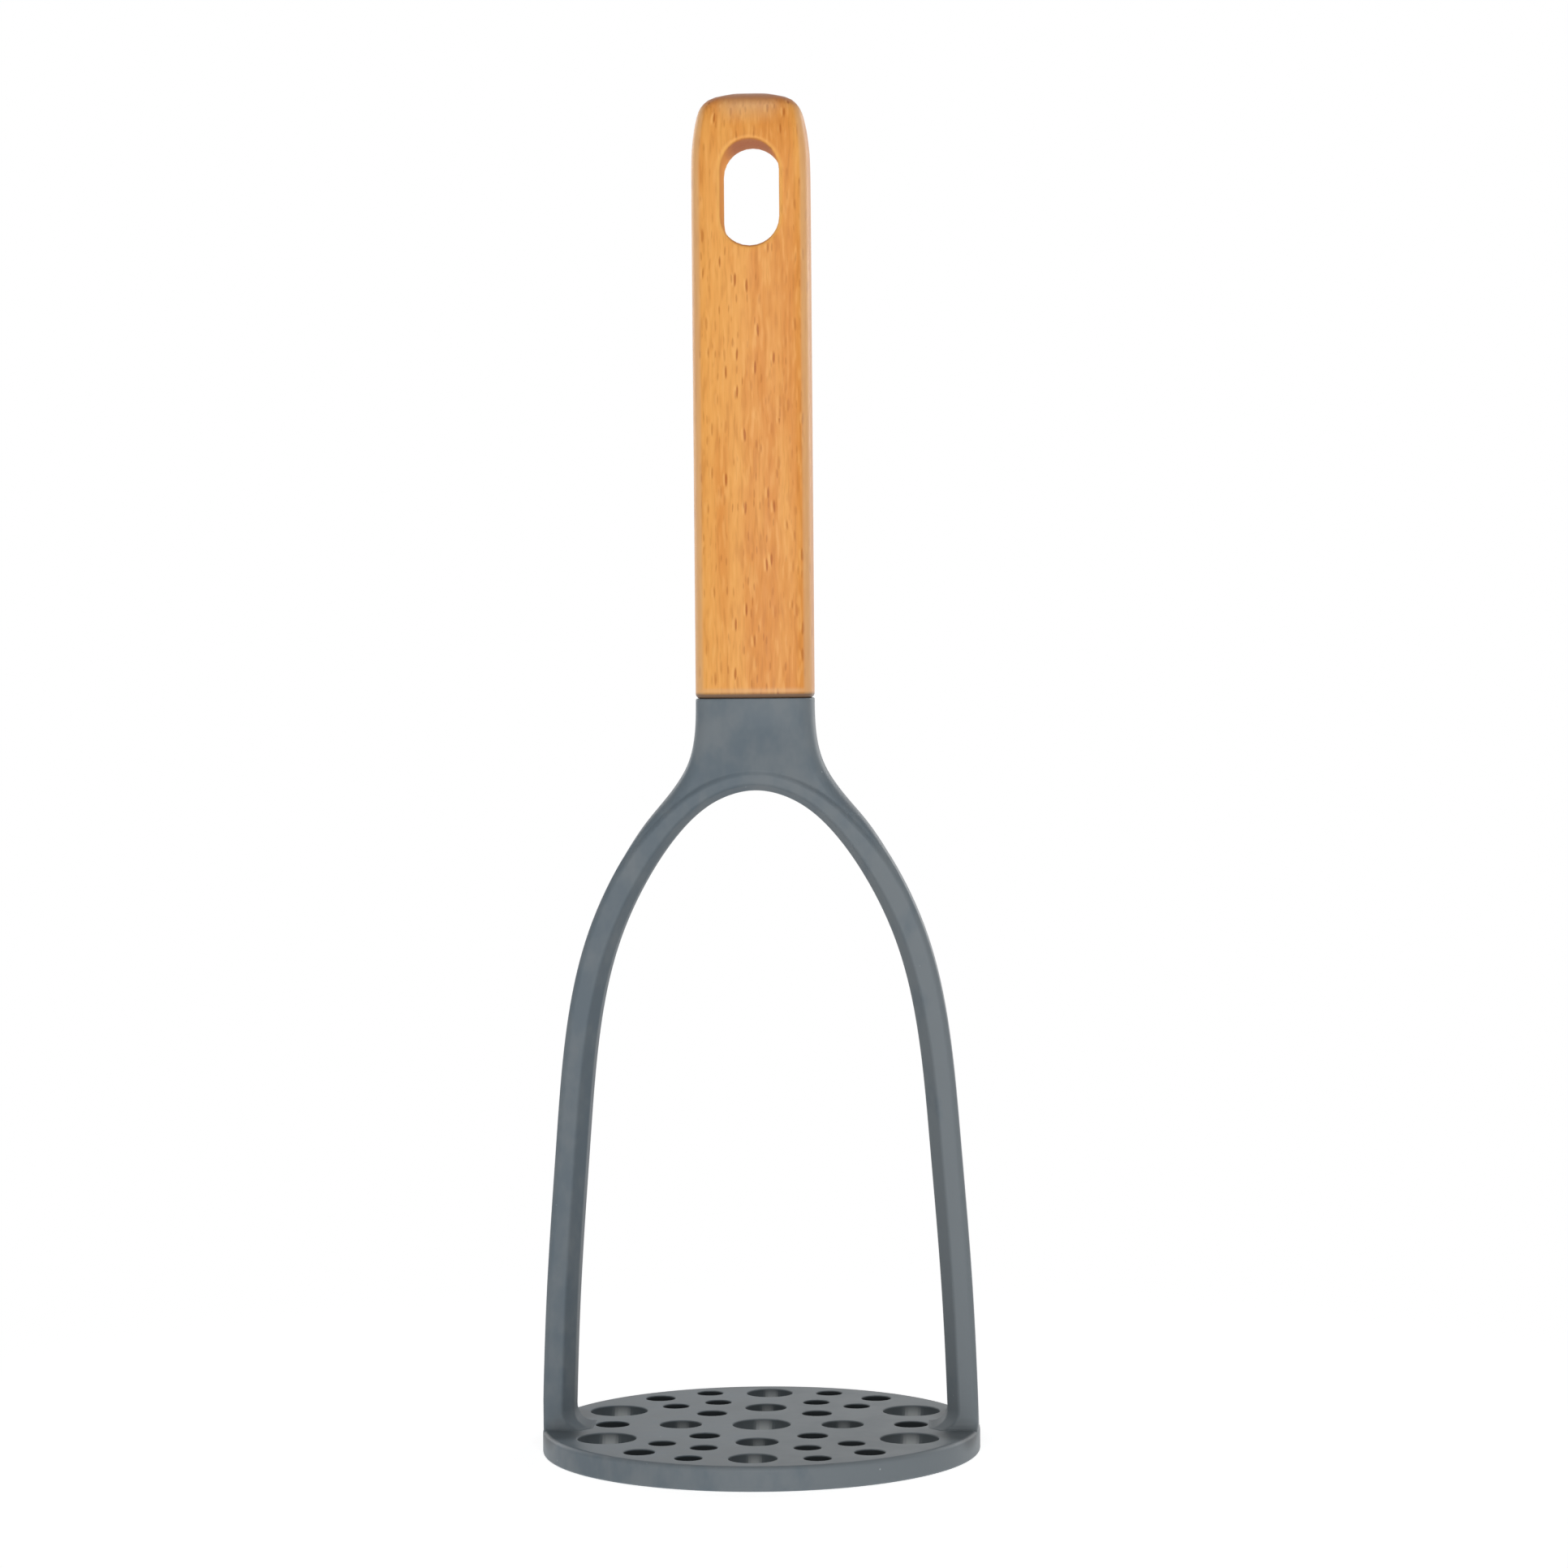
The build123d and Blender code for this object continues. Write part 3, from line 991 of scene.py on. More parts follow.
    def skin(self) -> Shape:
        """Grows the front half of the skin from the drill's tip down the bore and up to the top.

        Returns:
            The half skin.
        """
        full = self.section(0.0)
        count = len(full)
        top = self.low + self.bore_depth
        tip = top + self.bore_radius * self.drill_tip_share
        loft = Loft(self.lifted(self.bore_ring(0.0, count), tip))
        ring = self.bore_ring(self.bore_radius, count)
        for height in (top, self.low + self.bore_depth / 2, self.low):
            loft.grow(self.lifted(ring, height))
        drawn = self.section(0.0, self.end_rounding)
        for share in (0.5, 1.0):
            loft.grow(self.lifted([a.lerp(b, share) for a, b in zip(ring, drawn)], self.low))
        for step in range(1, self.end_steps):
            turn = math.pi / 2 * step / self.end_steps
            points = self.section(0.0, self.end_rounding * (1 - math.sin(turn)))
            loft.grow(self.lifted(points, self.low + self.end_rounding * (1 - math.cos(turn))))
        for height in self.heights():
            loft.grow(self.lifted(self.section(self.narrowing(height)), height))
        cap = self.section(self.narrowing(self.high))
        for share in self.lining_shares:
            loft.grow([Vector((p.x, p.y * share, self.high)) for p in cap])
        return loft.bm

    def mouth(self, point: Vector, reach: float, depth: float) -> Vector:
        """Moves a point of the window's edge onto a ring of the slot.

        Args:
            point: The point on the window's edge.
            reach: The ring's distance outside the slot's wall.
            depth: The ring's depth below the face that the point lies on.

        Returns:
            The point on the ring.
        """
        straight = self.slot_half_length - self.slot_half_width
        beside = point.z - self.slot_middle()
        core = Vector((0, self.slot_middle() + max(-straight, min(straight, beside))))
        away = (Vector((point.x, point.z)) - core).normalized()
        flat = core + away * (self.slot_half_width + reach)
        narrowing = self.narrowing(flat.y)
        bulge = self.grip.face_bulge / (self.grip.half_width - self.grip.side_bulge) ** 2
        face = (self.grip.half_depth - bulge * flat.x**2) * (1 - narrowing)
        return Vector((flat.x, -(face - depth), flat.y))

    def in_window(self, face: bmesh.types.BMFace, column: bmesh.types.BMLayerItem, last: int) -> bool:
        """Tells whether a face lies in the window that the slot is cut through.

        Args:
            face: The face.
            column: The layer that holds each point's column.
            last: The last column's number.

        Returns:
            True inside the window.
        """
        first = self.side_steps + self.corner_steps + 1
        columns = [vert[column] for vert in face.verts]
        reach = self.slot_half_length - self.slot_half_width + self.window_half
        beside = abs(face.calc_center_median().z - self.slot_middle()) < reach
        return beside and min(columns) >= first and max(columns) <= last - first

    def cut_slot(self, bm: Shape) -> None:
        """Opens the window in the front and lines the slot down to the middle plane.

        Args:
            bm: The front half of the skin.
        """
        column = bm.verts.layers.int[Loft.COLUMN]
        last = max(vert[column] for vert in bm.verts)
        inside = [face for face in bm.faces if self.in_window(face, column, last)]
        cut = set(inside)
        border = [edge for edge in bm.edges if len(cut.intersection(edge.link_faces)) == 1]
        bmesh.ops.delete(bm, geom=inside, context="FACES")
        rounding = self.mouth_rounding
        border = grown(bm, border, lambda vert: self.mouth(vert.co, rounding, 0.0))
        for step in range(1, self.mouth_steps + 1):
            turn = math.pi / 2 * step / self.mouth_steps
            reach = rounding * (1 - math.sin(turn))
            depth = rounding * (1 - math.cos(turn))
            border = grown(bm, border, lambda vert: self.mouth(vert.co, reach, depth))
        for share in self.lining_shares:
            depth = -(self.grip.half_depth - rounding - self.grip.face_bulge) * share
            border = grown(bm, border, lambda vert: Vector((vert.co.x, depth, vert.co.z)))

    def end_grain(self, vert: bpy.types.MeshVertex) -> float:
        """Returns how far a point shows the wood's end grain."""
        return smoothstep(*self.end_tilt, abs(vert.normal.z))

    def painted_sheen(self, vert: bpy.types.MeshVertex) -> float:
        """How far a point takes the painted sheen, a painted highlight: along the sides, above the seam and
        on the crown.

        Args:
            vert: The point.

        Returns:
            The mark, from 0 to 1.
        """
        across, tilt = abs(vert.co.x), abs(vert.normal.x)
        rise = vert.co.z - self.low - self.end_rounding
        outside = smoothstep(self.window_half, self.grip.half_width - self.grip.rounding / 2, across)
        edge = outside * smoothstep(*self.edge_tilt, tilt)
        side = edge * (1 - self.side_fading * smoothstep(*self.side_tilt, tilt))
        rim = smoothstep(*self.rim_start, rise) * smoothstep(*self.rim_stop, rise)
        crown = smoothstep(*self.crown_below, self.high - vert.co.z)
        crown *= smoothstep(*self.crown_across, across)
        return max(side, self.rim_sheen * rim, self.crown_sheen * crown)

    def slot_wall_light(self, vert: bpy.types.MeshVertex) -> float:
        """How far a point lies on the slot's wall, less where the wall lies level: where painted light
        brightens the wall and the wood turns duller.

        Args:
            vert: The point.

        Returns:
            The mark, from 0 to 1.
        """
        above = abs(vert.co.z - self.slot_middle()) - self.slot_half_length + self.slot_half_width
        wall = math.hypot(vert.co.x, max(0.0, above)) - self.slot_half_width
        upright = smoothstep(*self.upright_tilt, abs(vert.normal.z))
        upright = self.level_share + (1 - self.level_share) * upright
        return upright * smoothstep(self.mouth_rounding, 0.0, wall)

    def seam(self, vert: bpy.types.MeshVertex) -> float:
        """Returns how far a point lies in the dark line at the seam."""
        return smoothstep(*self.seam_stop, vert.co.z - self.low - self.end_rounding)

    def mark_wood(self, mesh: bpy.types.Mesh) -> None:
        """Writes the wood's four marks, which its material reads.

        Args:
            mesh: The handle's mesh.
        """
        marks = {
            BeechFinish.END_GRAIN: self.end_grain,
            BeechFinish.PAINTED_SHEEN: self.painted_sheen,
            BeechFinish.SLOT_WALL_LIGHT: self.slot_wall_light,
            BeechFinish.SEAM: self.seam,
        }
        for name, mark in marks.items():
            values = [mark(vert) for vert in mesh.vertices]
            mesh.attributes.new(name, "FLOAT", "POINT").data.foreach_set("value", values)

    def build(self) -> bpy.types.Object:
        """Builds and dresses the handle.

        Returns:
            The handle's object.
        """
        bm = self.skin()
        self.cut_slot(bm)
        piece = settle(closed_skin(bm, "Y"), "handle_of_beech")
        self.mark_wood(piece.data)
        piece.data.materials.append(BeechFinish().material())
        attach(piece, "root")
        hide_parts("beech_handle")
        return piece


class SmoothLine:
    """Smooth curve through a few points in one plane, bending evenly from stretch to stretch."""

    ROUNDS = 60

    def __init__(self, points: Chain, start: Vector | None = None, end: Vector | None = None) -> None:
        """Finds the curve's direction at each point.

        Args:
            points: The points.
            start: Direction at the first point, or None where the curve runs out straight.
            end: Direction at the last point, likewise.
        """
        self.points = points
        self.places = [0.0]
        for near, far in zip(points, points[1:]):
            self.places.append(self.places[-1] + (far - near).length)
        widths = [far - near for near, far in zip(self.places, self.places[1:])]
        slopes = [(far - near) / width for near, far, width in zip(points, points[1:], widths)]
        self.tangents = [slopes[0]] + [(a + b) / 2 for a, b in zip(slopes, slopes[1:])] + [slopes[-1]]
        for _ in range(self.ROUNDS):
            self.tangents[0] = (3 * slopes[0] - self.tangents[1]) / 2 if start is None else start
            self.tangents[-1] = (3 * slopes[-1] - self.tangents[-2]) / 2 if end is None else end
            for i in range(1, len(points) - 1):
                near, far = widths[i - 1], widths[i]
                pull = 3 * (slopes[i - 1] / near + slopes[i] / far)
                pull -= self.tangents[i - 1] / near + self.tangents[i + 1] / far
                self.tangents[i] = pull / (2 / near + 2 / far)

    def read(self, place: float) -> tuple[Vector, Vector]:
        """Reads the curve.

        Args:
            place: Distance from its start, along the chords between its points.

        Returns:
            The point there and the curve's direction, of length 1.
        """
        last = len(self.points) - 2
        step = next((i for i in range(last) if place <= self.places[i + 1]), last)
        width = self.places[step + 1] - self.places[step]
        t = (place - self.places[step]) / width
        a, b = self.points[step], self.points[step + 1]
        leave, reach = self.tangents[step] * width, self.tangents[step + 1] * width
        point = (1 + 2 * t) * (1 - t) ** 2 * a + t * (1 - t) ** 2 * leave
        point += t * t * (3 - 2 * t) * b + t * t * (t - 1) * reach
        slope = 6 * t * (t - 1) * (a - b) + (1 - t) * (1 - 3 * t) * leave + t * (3 * t - 2) * reach
        return point, slope.normalized()

    def place_at_height(self, height: float, low: float, high: float) -> float:
        """Finds where the curve passes a height.

        Args:
            height: The height.
            low: A place where the curve lies lower.
            high: A place where it lies higher.

        Returns:
            The place at that height.
        """
        for _ in range(HALVINGS):
            middle = (low + high) / 2
            if self.read(middle)[0].y < height:
                low = middle
            else:
                high = middle
        return (low + high) / 2


class Hole(Enum):
    """Diameters of the plate's holes."""

    LARGE = 11.9 * MM
    RIM = 9.7 * MM
    MEDIUM = 8.6 * MM
    SIDE = 6.9 * MM
    SMALL = 6.2 * MM
    LEAST = 5.5 * MM


@dataclass
class MashingPlate:
    """Round plate with a rounded rim and its pattern of holes."""

    radius: float = field(default_factory=lambda: -cad_box[0][0])
    thickness: float = 5.0 * MM
    top_rounding: float = 1.0 * MM
    bottom_rounding: float = 0.5 * MM
    hole_rounding: float = 0.3 * MM
    rim_segments: int = 240
    hole_segments: int = 56
    # Painted shade in the holes, less in the wide ones, and a painted glint on their front and back walls
    wide_light_share: float = 0.7
    upper_shade_share: float = 0.7
    glint_gain: float = 1.5
    glint_facing: Range = (0.93, 1.0)
    layout_shares: list[tuple[float, float, Hole]] = field(default_factory=lambda: [
        (0.0, 0.0, Hole.LARGE),
        (0.682, 0.340, Hole.LARGE),
        (0.0, 0.804, Hole.RIM),
        (0.371, 0.0, Hole.MEDIUM),
        (0.0, 0.424, Hole.MEDIUM),
        (0.684, 0.0, Hole.SIDE),
        (0.511, 0.664, Hole.SMALL),
        (0.244, 0.276, Hole.SMALL),
        (0.284, 0.800, Hole.LEAST),
        (0.231, 0.558, Hole.LEAST),
        (0.424, 0.458, Hole.LEAST),
    ])

    def arc(self, reach: float, steps: int) -> Table:
        """Returns how far each step round an edge comes, across the flat face and down the wall."""
        turns = [math.pi / 2 * step / steps for step in range(1, steps + 1)]
        return [(reach * math.sin(turn), reach * (1 - math.cos(turn))) for turn in turns]

    def rim_profile(self) -> Table:
        """Steps down the rim, from the top face's edge to the bottom's.

        Returns:
            Radius and height at each step.
        """
        flat_top = self.radius - self.top_rounding
        flat_bottom = self.radius - self.bottom_rounding
        top = [(flat_top + out, self.thickness - down) for out, down in self.arc(self.top_rounding, 6)]
        low = [(flat_bottom + out, down) for out, down in self.arc(self.bottom_rounding, 4)]
        return top + low[::-1] + [(flat_bottom, 0.0)]

    def hole_profile(self, radius: float) -> Table:
        """Steps down a hole's wall.

        Args:
            radius: The hole's radius.

        Returns:
            Radius and height at each step.
        """
        reach = self.hole_rounding
        top = [(radius + reach - out, self.thickness - down) for out, down in self.arc(reach, 3)]
        low = [(radius + reach - out, down) for out, down in self.arc(reach, 3)]
        return top + low[::-1] + [(radius + reach, 0.0)]

    def ring(self, bm: Shape, x: float, y: float, radius: float, segments: int) -> Edges:
        """Lays a ring of edges on the top face.

        Args:
            bm: The shape.
            x: The ring's centre.
            y: The ring's centre.
            radius: Its radius.
            segments: Its number of edges.

        Returns:
            The edges.
        """
        place = Matrix.Translation((x, y, self.thickness))
        verts = bmesh.ops.create_circle(bm, segments=segments, radius=radius, matrix=place)["verts"]
        return list(dict.fromkeys(edge for vert in verts for edge in vert.link_edges))

    def lower(self, bm: Shape, ring: Edges, x: float, y: float, profile: Table) -> Edges:
        """Grows a round wall down from a ring.

        Args:
            bm: The shape.
            ring: The ring's edges.
            x: The wall's axis.
            y: The wall's axis.
            profile: Radius and height at each step.

        Returns:
            The last ring's edges.
        """
        centre = Vector((x, y, 0))
        for radius, height in profile:
            def place(vert: bmesh.types.BMVert) -> Vector:
                """Returns the point's place on the next ring."""
                away = Vector((vert.co.x - x, vert.co.y - y, 0)).normalized()
                return centre + away * radius + Vector((0, 0, height))
            ring = grown(bm, ring, place)
        return ring

    def gloom(self, hole: Hole) -> float:
        """Returns how much painted shade a hole's wall takes: less in the wide ones, where light reaches
        down.
        """
        return 1 - self.wide_light_share * smoothstep(Hole.SIDE.value, Hole.RIM.value, hole.value)

    def shade_wall(self, bm: Shape, wall: set[bmesh.types.BMVert], x: float, y: float, gloom: float) -> None:
        """Marks a hole's wall with painted shade inside, and a painted glint where the wall of a wide hole
        faces front or back.

        Args:
            bm: The shape.
            wall: The wall's points.
            x: The hole's centre.
            y: The hole's centre.
            gloom: How much painted shade the hole takes.
        """
        painted_shade = bm.verts.layers.float[NylonFinish.PAINTED_SHADE]
        glint = bm.verts.layers.float[NylonFinish.GLINT]
        for vert in wall:
            high = vert.co.z / self.thickness
            facing = abs(vert.co.y - y) / math.hypot(vert.co.x - x, vert.co.y - y)
            inside = smoothstep(0.0, self.hole_rounding, min(vert.co.z, self.thickness - vert.co.z))
            vert[painted_shade] = (gloom + (1 - gloom) * self.upper_shade_share * high) * inside
            lit = min(1.0, self.glint_gain * (1 - high)) * inside
            vert[glint] = (1 - gloom) * smoothstep(*self.glint_facing, facing) * lit

    def build(self) -> Shape:
        """Builds the plate: top face, walls of rim and holes, bottom face.

        Returns:
            The plate's closed shape.
        """
        bm = bmesh.new()
        for name in (NylonFinish.PAINTED_SHADE, NylonFinish.GLINT):
            bm.verts.layers.float.new(name)
        spots = {
            (x * side * self.radius, y * end * self.radius, hole)
            for x, y, hole in self.layout_shares for side in (-1, 1) for end in (-1, 1)
        }
        rim = self.ring(bm, 0, 0, self.radius - self.top_rounding, self.rim_segments)
        walls = [(rim, 0, 0, self.rim_profile(), None)]
        for x, y, hole in sorted(spots, key=lambda spot: (spot[0], spot[1])):
            radius = hole.value / 2
            ring = self.ring(bm, x, y, radius + self.hole_rounding, self.hole_segments)
            walls.append((ring, x, y, self.hole_profile(radius), hole))
        bmesh.ops.triangle_fill(bm, use_beauty=True, edges=list(bm.edges), normal=(0, 0, 1))
        bottom = []
        for ring, x, y, profile, hole in walls:
            before = set(bm.verts)
            bottom += self.lower(bm, ring, x, y, profile)
            if hole is not None:
                self.shade_wall(bm, set(bm.verts) - before, x, y, self.gloom(hole))
        bmesh.ops.triangle_fill(bm, use_beauty=True, edges=bottom, normal=(0, 0, -1))
        bmesh.ops.recalc_face_normals(bm, faces=bm.faces)
        return bm


@dataclass
class Yoke:
    """Legs, arch, web and collar: one bar bent into a tall arch, which fans out under the handle."""

    plate_radius: float = 45.0 * MM
    plate_thickness: float = 5.0 * MM
    leg_width: float = 6.35 * MM
    leg_depth: float = 12.5 * MM
    chamfer_width: float = 2.3 * MM
    crown_chamfer_width: float = 1.25 * MM
    chamfer_depth: float = 2.6 * MM
    edge_reach: float = 0.9 * MM
    soft_reach: float = 0.45 * MM
    inner_flare: float = 4.0 * MM
    face_flare: float = 0.9 * MM
    face_flare_rise: float = 1.6 * MM
    foot_set_in: float = 0.15 * MM
    upright_between: Range = (12 * MM, 30 * MM)
    seam_height: float = SEAM_HEIGHT
    collar_height: float = 18.85 * MM
    grip: Pillow = GRIP
    web_half_depth: float = 5.6 * MM
    web_bulge_share: float = 0.1
    seam_rounding: float = 0.3 * MM
    bead_width: float = 3.3 * MM
    bead_height: float = 0.65 * MM
    beside_bead: float = 0.5 * MM
    thinning_start_share: float = 0.26
    thinning_end_share: float = 0.92
    outer_steps: int = 26
    corner_steps: int = 3
    edge_steps: int = 4
    foot_rows: int = 9
    leg_rows: int = 52
    web_rows: int = 56
    web_end_point: int = 5
    arch_shares: Table = field(default_factory=lambda: [
        (1.0, 0.0), (0.972, 0.218), (0.918, 0.445), (0.872, 0.595), (0.762, 0.751),
        (0.593, 0.862), (0.448, 0.925), (0.291, 0.970), (0.0, 1.0),
    ])
    bead_widening_shares: list[float] = field(default_factory=lambda: [0.85, 0.6, 0.32, 0.12, 0.0])
    # Painted shade on the arch's inner wall and its chamfer
    wall_shade: float = 0.26
    chamfer_shade: float = 0.16
    outline_shares: Table = field(default_factory=lambda: [
        (0.000, 0.000), (0.160, 0.008), (0.282, 0.038), (0.360, 0.079), (0.442, 0.151),
        (0.522, 0.255), (0.603, 0.384), (0.763, 0.667), (1.000, 1.000),
    ])
    fan_shares: Table = field(default_factory=lambda: [
        (0.55, 1.0), (0.66, 0.76), (0.80, 0.46), (1.0, 0.0),
    ])

    def __post_init__(self) -> None:
        """Lays out the arch's centre line and the outline of collar and web."""
        root = self.plate_thickness / 2
        crown = self.seam_height - self.collar_height + self.leg_width / 2
        foot = self.plate_radius - self.foot_set_in - self.leg_width / 2
        right = [Vector((foot * x, root + (crown - root) * z)) for x, z in self.arch_shares]
        self.line = SmoothLine(right + [Vector((-p.x, p.y)) for p in reversed(right[:-1])])
        self.crown_place = self.line.places[len(right) - 1]
        self.web_place = self.line.places[self.web_end_point]
        end, heading = self.line.read(self.web_place)
        end = end + Vector((heading.y, -heading.x)) * self.leg_width / 2
        top = Vector((self.grip.half_width, self.seam_height))
        way = end - top
        points = [top + Vector((way.x * spread, way.y * drop)) for drop, spread in self.outline_shares]
        self.outline = SmoothLine(points[::-1], heading, Vector((0, 1)))

    def across(self, place: float) -> tuple[Vector, Vector]:
        """Finds the arch's inner edge.

        Args:
            place: The place along the centre line.

        Returns:
            The inner edge's point and the direction outwards from it.
        """
        centre, heading = self.line.read(place)
        turned = smoothstep(*self.upright_between, centre.y)
        outward = Vector((1, 0)).lerp(Vector((heading.y, -heading.x)), turned).normalized()
        return centre - outward * self.leg_width / 2, outward

    def spot(self, inner: Vector, outward: Vector, reach: float, depth: float) -> Vector:
        """Returns the point at a reach outwards from the inner edge and a depth towards the front."""
        flat = inner + outward * reach
        return Vector((flat.x, -depth, flat.y))

    def bead_edge(self, place: float) -> float:
        """Finds the bead's outer edge, which widens over the whole bar down the legs.

        Args:
            place: The place along the centre line.

        Returns:
            How far the bead reaches outwards from the inner edge.
        """
        first = len(self.arch_shares) - len(self.bead_widening_shares)
        places = self.line.places[first:len(self.arch_shares)]
        widening = eased(list(zip(places, self.bead_widening_shares)), place)
        wide = self.bead_width + (self.leg_width - self.bead_width) * widening
        return min(wide, self.leg_width - self.edge_reach)

    def collar_at(self, height: float) -> Pillow:
        """Finds the level cross-section of collar and web, which thins from the one to the other.

        Args:
            height: The section's height.

        Returns:
            The section.
        """
        low = self.outline.points[0].y
        height = max(low, min(self.seam_height, height))
        spread = self.outline.read(self.outline.place_at_height(height, 0.0, self.outline.places[-1]))[0].x
        share = (self.seam_height - height) / self.collar_height
        thin = smoothstep(self.thinning_start_share, self.thinning_end_share, share)
        full = smoothstep(low, self.seam_height - self.collar_height, height)
        bulge = 1 - (1 - self.web_bulge_share) * thin
        return Pillow(
            spread,
            self.grip.half_depth + (self.web_half_depth - self.grip.half_depth) * thin,
            self.edge_reach + (self.grip.rounding - self.edge_reach) * full,
            self.grip.side_bulge * bulge,
            self.grip.face_bulge * bulge,
        )

    def inner_corners(self, place: float) -> Chain:
        """Corners of a station from the middle of the inner wall to the bead's outer edge.

        Args:
            place: The place along the centre line.

        Returns:
            The wall's middle, the chamfer's two edges and the bead's outer edge.
        """
        inner, outward = self.across(place)
        rise = self.line.read(place)[0].y - self.plate_thickness
        flare = self.flare(rise, self.inner_flare, self.inner_flare)
        front = self.leg_depth / 2 + self.flare(rise, self.face_flare, self.face_flare_rise)
        start = self.line.places[2]
        narrowed = smoothstep(start, self.crown_place, place)
        chamfer = self.chamfer_width + (self.crown_chamfer_width - self.chamfer_width) * narrowed
        return [
            self.spot(inner, outward, -flare, 0.0),
            self.spot(inner, outward, -flare, front - self.chamfer_depth),
            self.spot(inner, outward, chamfer - flare, front),
            self.spot(inner, outward, self.bead_edge(place), front),
        ]

    def flare(self, rise: float, reach: float, height: float) -> float:
        """Returns what a foot's flare of some reach and height has left of its reach at a rise."""
        share = 1 - max(0.0, min(1.0, rise / height))
        return reach * (1 - math.sqrt(1 - share * share))

    def leg_side(self, place: float) -> Chain:
        """Chain from the bead's step down the outer side of the bar to its middle.

        Args:
            place: The place along the centre line.

        Returns:
            The chain's points.
        """
        inner, outward = self.across(place)
        rise = self.line.read(place)[0].y - self.plate_thickness
        front = self.leg_depth / 2 + self.flare(rise, self.face_flare, self.face_flare_rise)
        edge = self.bead_edge(place)
        drop = min(self.bead_height, self.leg_width - edge)
        corners = [
            self.spot(inner, outward, edge + drop, front - drop),
            self.spot(inner, outward, self.leg_width, front - drop),
            self.spot(inner, outward, self.leg_width, 0.0),
        ]
        return softened(corners, [self.edge_reach], self.edge_steps)

    def web_side(self, place: float) -> Chain:
        """Chain from the bead's step across web and collar to the outline or the seam.

        Args:
            place: The place along the centre line.

        Returns:
            The chain's points.
        """
        inner, outward = self.across(place)
        start = inner + outward * (self.bead_edge(place) + self.bead_height)
        share = (place - self.web_place) / (self.crown_place - self.web_place)
        turn = eased(self.fan_shares, share)
        first_fan = self.fan_shares[0][0]
        end_height = self.seam_height - self.seam_rounding
        if share < first_fan:
            line_end = self.outline.place_at_height(end_height, 0.0, self.outline.places[-1])
            end_height = self.outline.read(line_end * share / first_fan)[0].y
        start_turn = self.collar_at(start.y).share_at(start.x)
        chain = []
        for step in range(self.outer_steps * 2 + 1):
            way = step / (self.outer_steps * 2)
            height = start.y + (end_height - start.y) * way
            x, y = self.collar_at(height).point(start_turn + (turn - start_turn) * way)
            chain.append(Vector((x, -y, height)))
        return chain

    def seam_points(self, place: float, last: Vector) -> Chain:
        """Points over the collar's top edge to the middle of its top face.

        Args:
            place: The place along the centre line.
            last: The station's last point so far, which they all share below the seam.

        Returns:
            The points.
        """
        share = (place - self.web_place) / (self.crown_place - self.web_place)
        steps = self.corner_steps
        if share < self.fan_shares[0][0]:
            return [last] * (steps + 2)
        points = []
        for step in range(1, steps + 1):
            bend = math.pi / 2 * step / steps
            inset = self.seam_rounding * (1 - math.cos(bend))
            full = self.collar_at(self.seam_height)
            pillow = Pillow(
                full.half_width - inset, full.half_depth - inset, full.rounding - inset,
                full.side_bulge, full.face_bulge,
            )
            x, y = pillow.point(eased(self.fan_shares, share))
            height = self.seam_height - self.seam_rounding * (1 - math.sin(bend))
            points.append(Vector((x, -y, height)))
        return points + [Vector((x, -y / 2, self.seam_height)), Vector((x, 0.0, self.seam_height))]

    def station(self, place: float) -> Chain:
        """Points of one station, from the inner wall's middle round the front to the outer side's.

        Args:
            place: The place along the centre line.

        Returns:
            The points.
        """
        corners = self.inner_corners(place)
        side = self.web_side(place) if place > self.web_place else self.leg_side(place)
        length = sum((b - a).length for a, b in zip(side, side[1:]))
        first = min(0.5, self.beside_bead / length)
        corners += [side[0], along(side, first)]
        points = softened(corners, [self.soft_reach] * 4, self.corner_steps)
        rest = (1 - first) / self.outer_steps
        points += [along(side, min(1.0, first + rest * step)) for step in range(1, self.outer_steps + 1)]
        return points + self.seam_points(place, points[-1])

    def trimmed(self, point: Vector) -> Vector:
        """Returns a foot's point, drawn in to the plate's rim."""
        rim = self.plate_radius - self.foot_set_in
        return Vector((min(point.x, math.sqrt(rim * rim - point.y * point.y)), point.y, point.z))

    def place_above_plate(self, rise: float) -> float:
        """Returns the place where a leg's centre line passes a height above the plate."""
        return self.line.place_at_height(self.plate_thickness + rise, 0.0, self.crown_place / 2)

    def places(self) -> list[float]:
        """Lists the stations from the top of the foot's flare to the crown.

        Returns:
            Their places along the centre line.
        """
        start = self.place_above_plate(self.inner_flare)
        legs = [start + (self.web_place - start) * step / self.leg_rows for step in range(self.leg_rows)]
        way = self.crown_place - self.web_place
        return legs + [self.web_place + way * step / self.web_rows for step in range(self.web_rows + 1)]

    def build(self) -> Shape:
        """Grows one quarter from the foot to the crown and mirrors it into the whole.

        Returns:
            The yoke's closed shape.
        """
        root = self.station(self.place_above_plate(0.0))
        buried = [self.trimmed(Vector((p.x, p.y, self.plate_thickness / 2))) for p in root]
        loft = Loft([Vector((p.x, 0.0, p.z)) for p in buried])
        loft.grow(buried)
        turns = [math.pi / 2 * step / self.foot_rows for step in range(self.foot_rows)]
        foot = [self.place_above_plate(self.inner_flare * (1 - math.cos(turn))) for turn in turns]
        for place in foot + self.places():
            loft.grow([self.trimmed(point) for point in self.station(place)])
        skin = closed_skin(loft.bm, "XY")
        self.shade_inside(skin)
        return skin

    def shade_inside(self, skin: Shape) -> None:
        """Paints shade onto the arch's inner wall and its chamfer.

        Args:
            skin: The yoke's whole skin.
        """
        painted_shade = skin.verts.layers.float.new(NylonFinish.PAINTED_SHADE)
        column = skin.verts.layers.int[Loft.COLUMN]
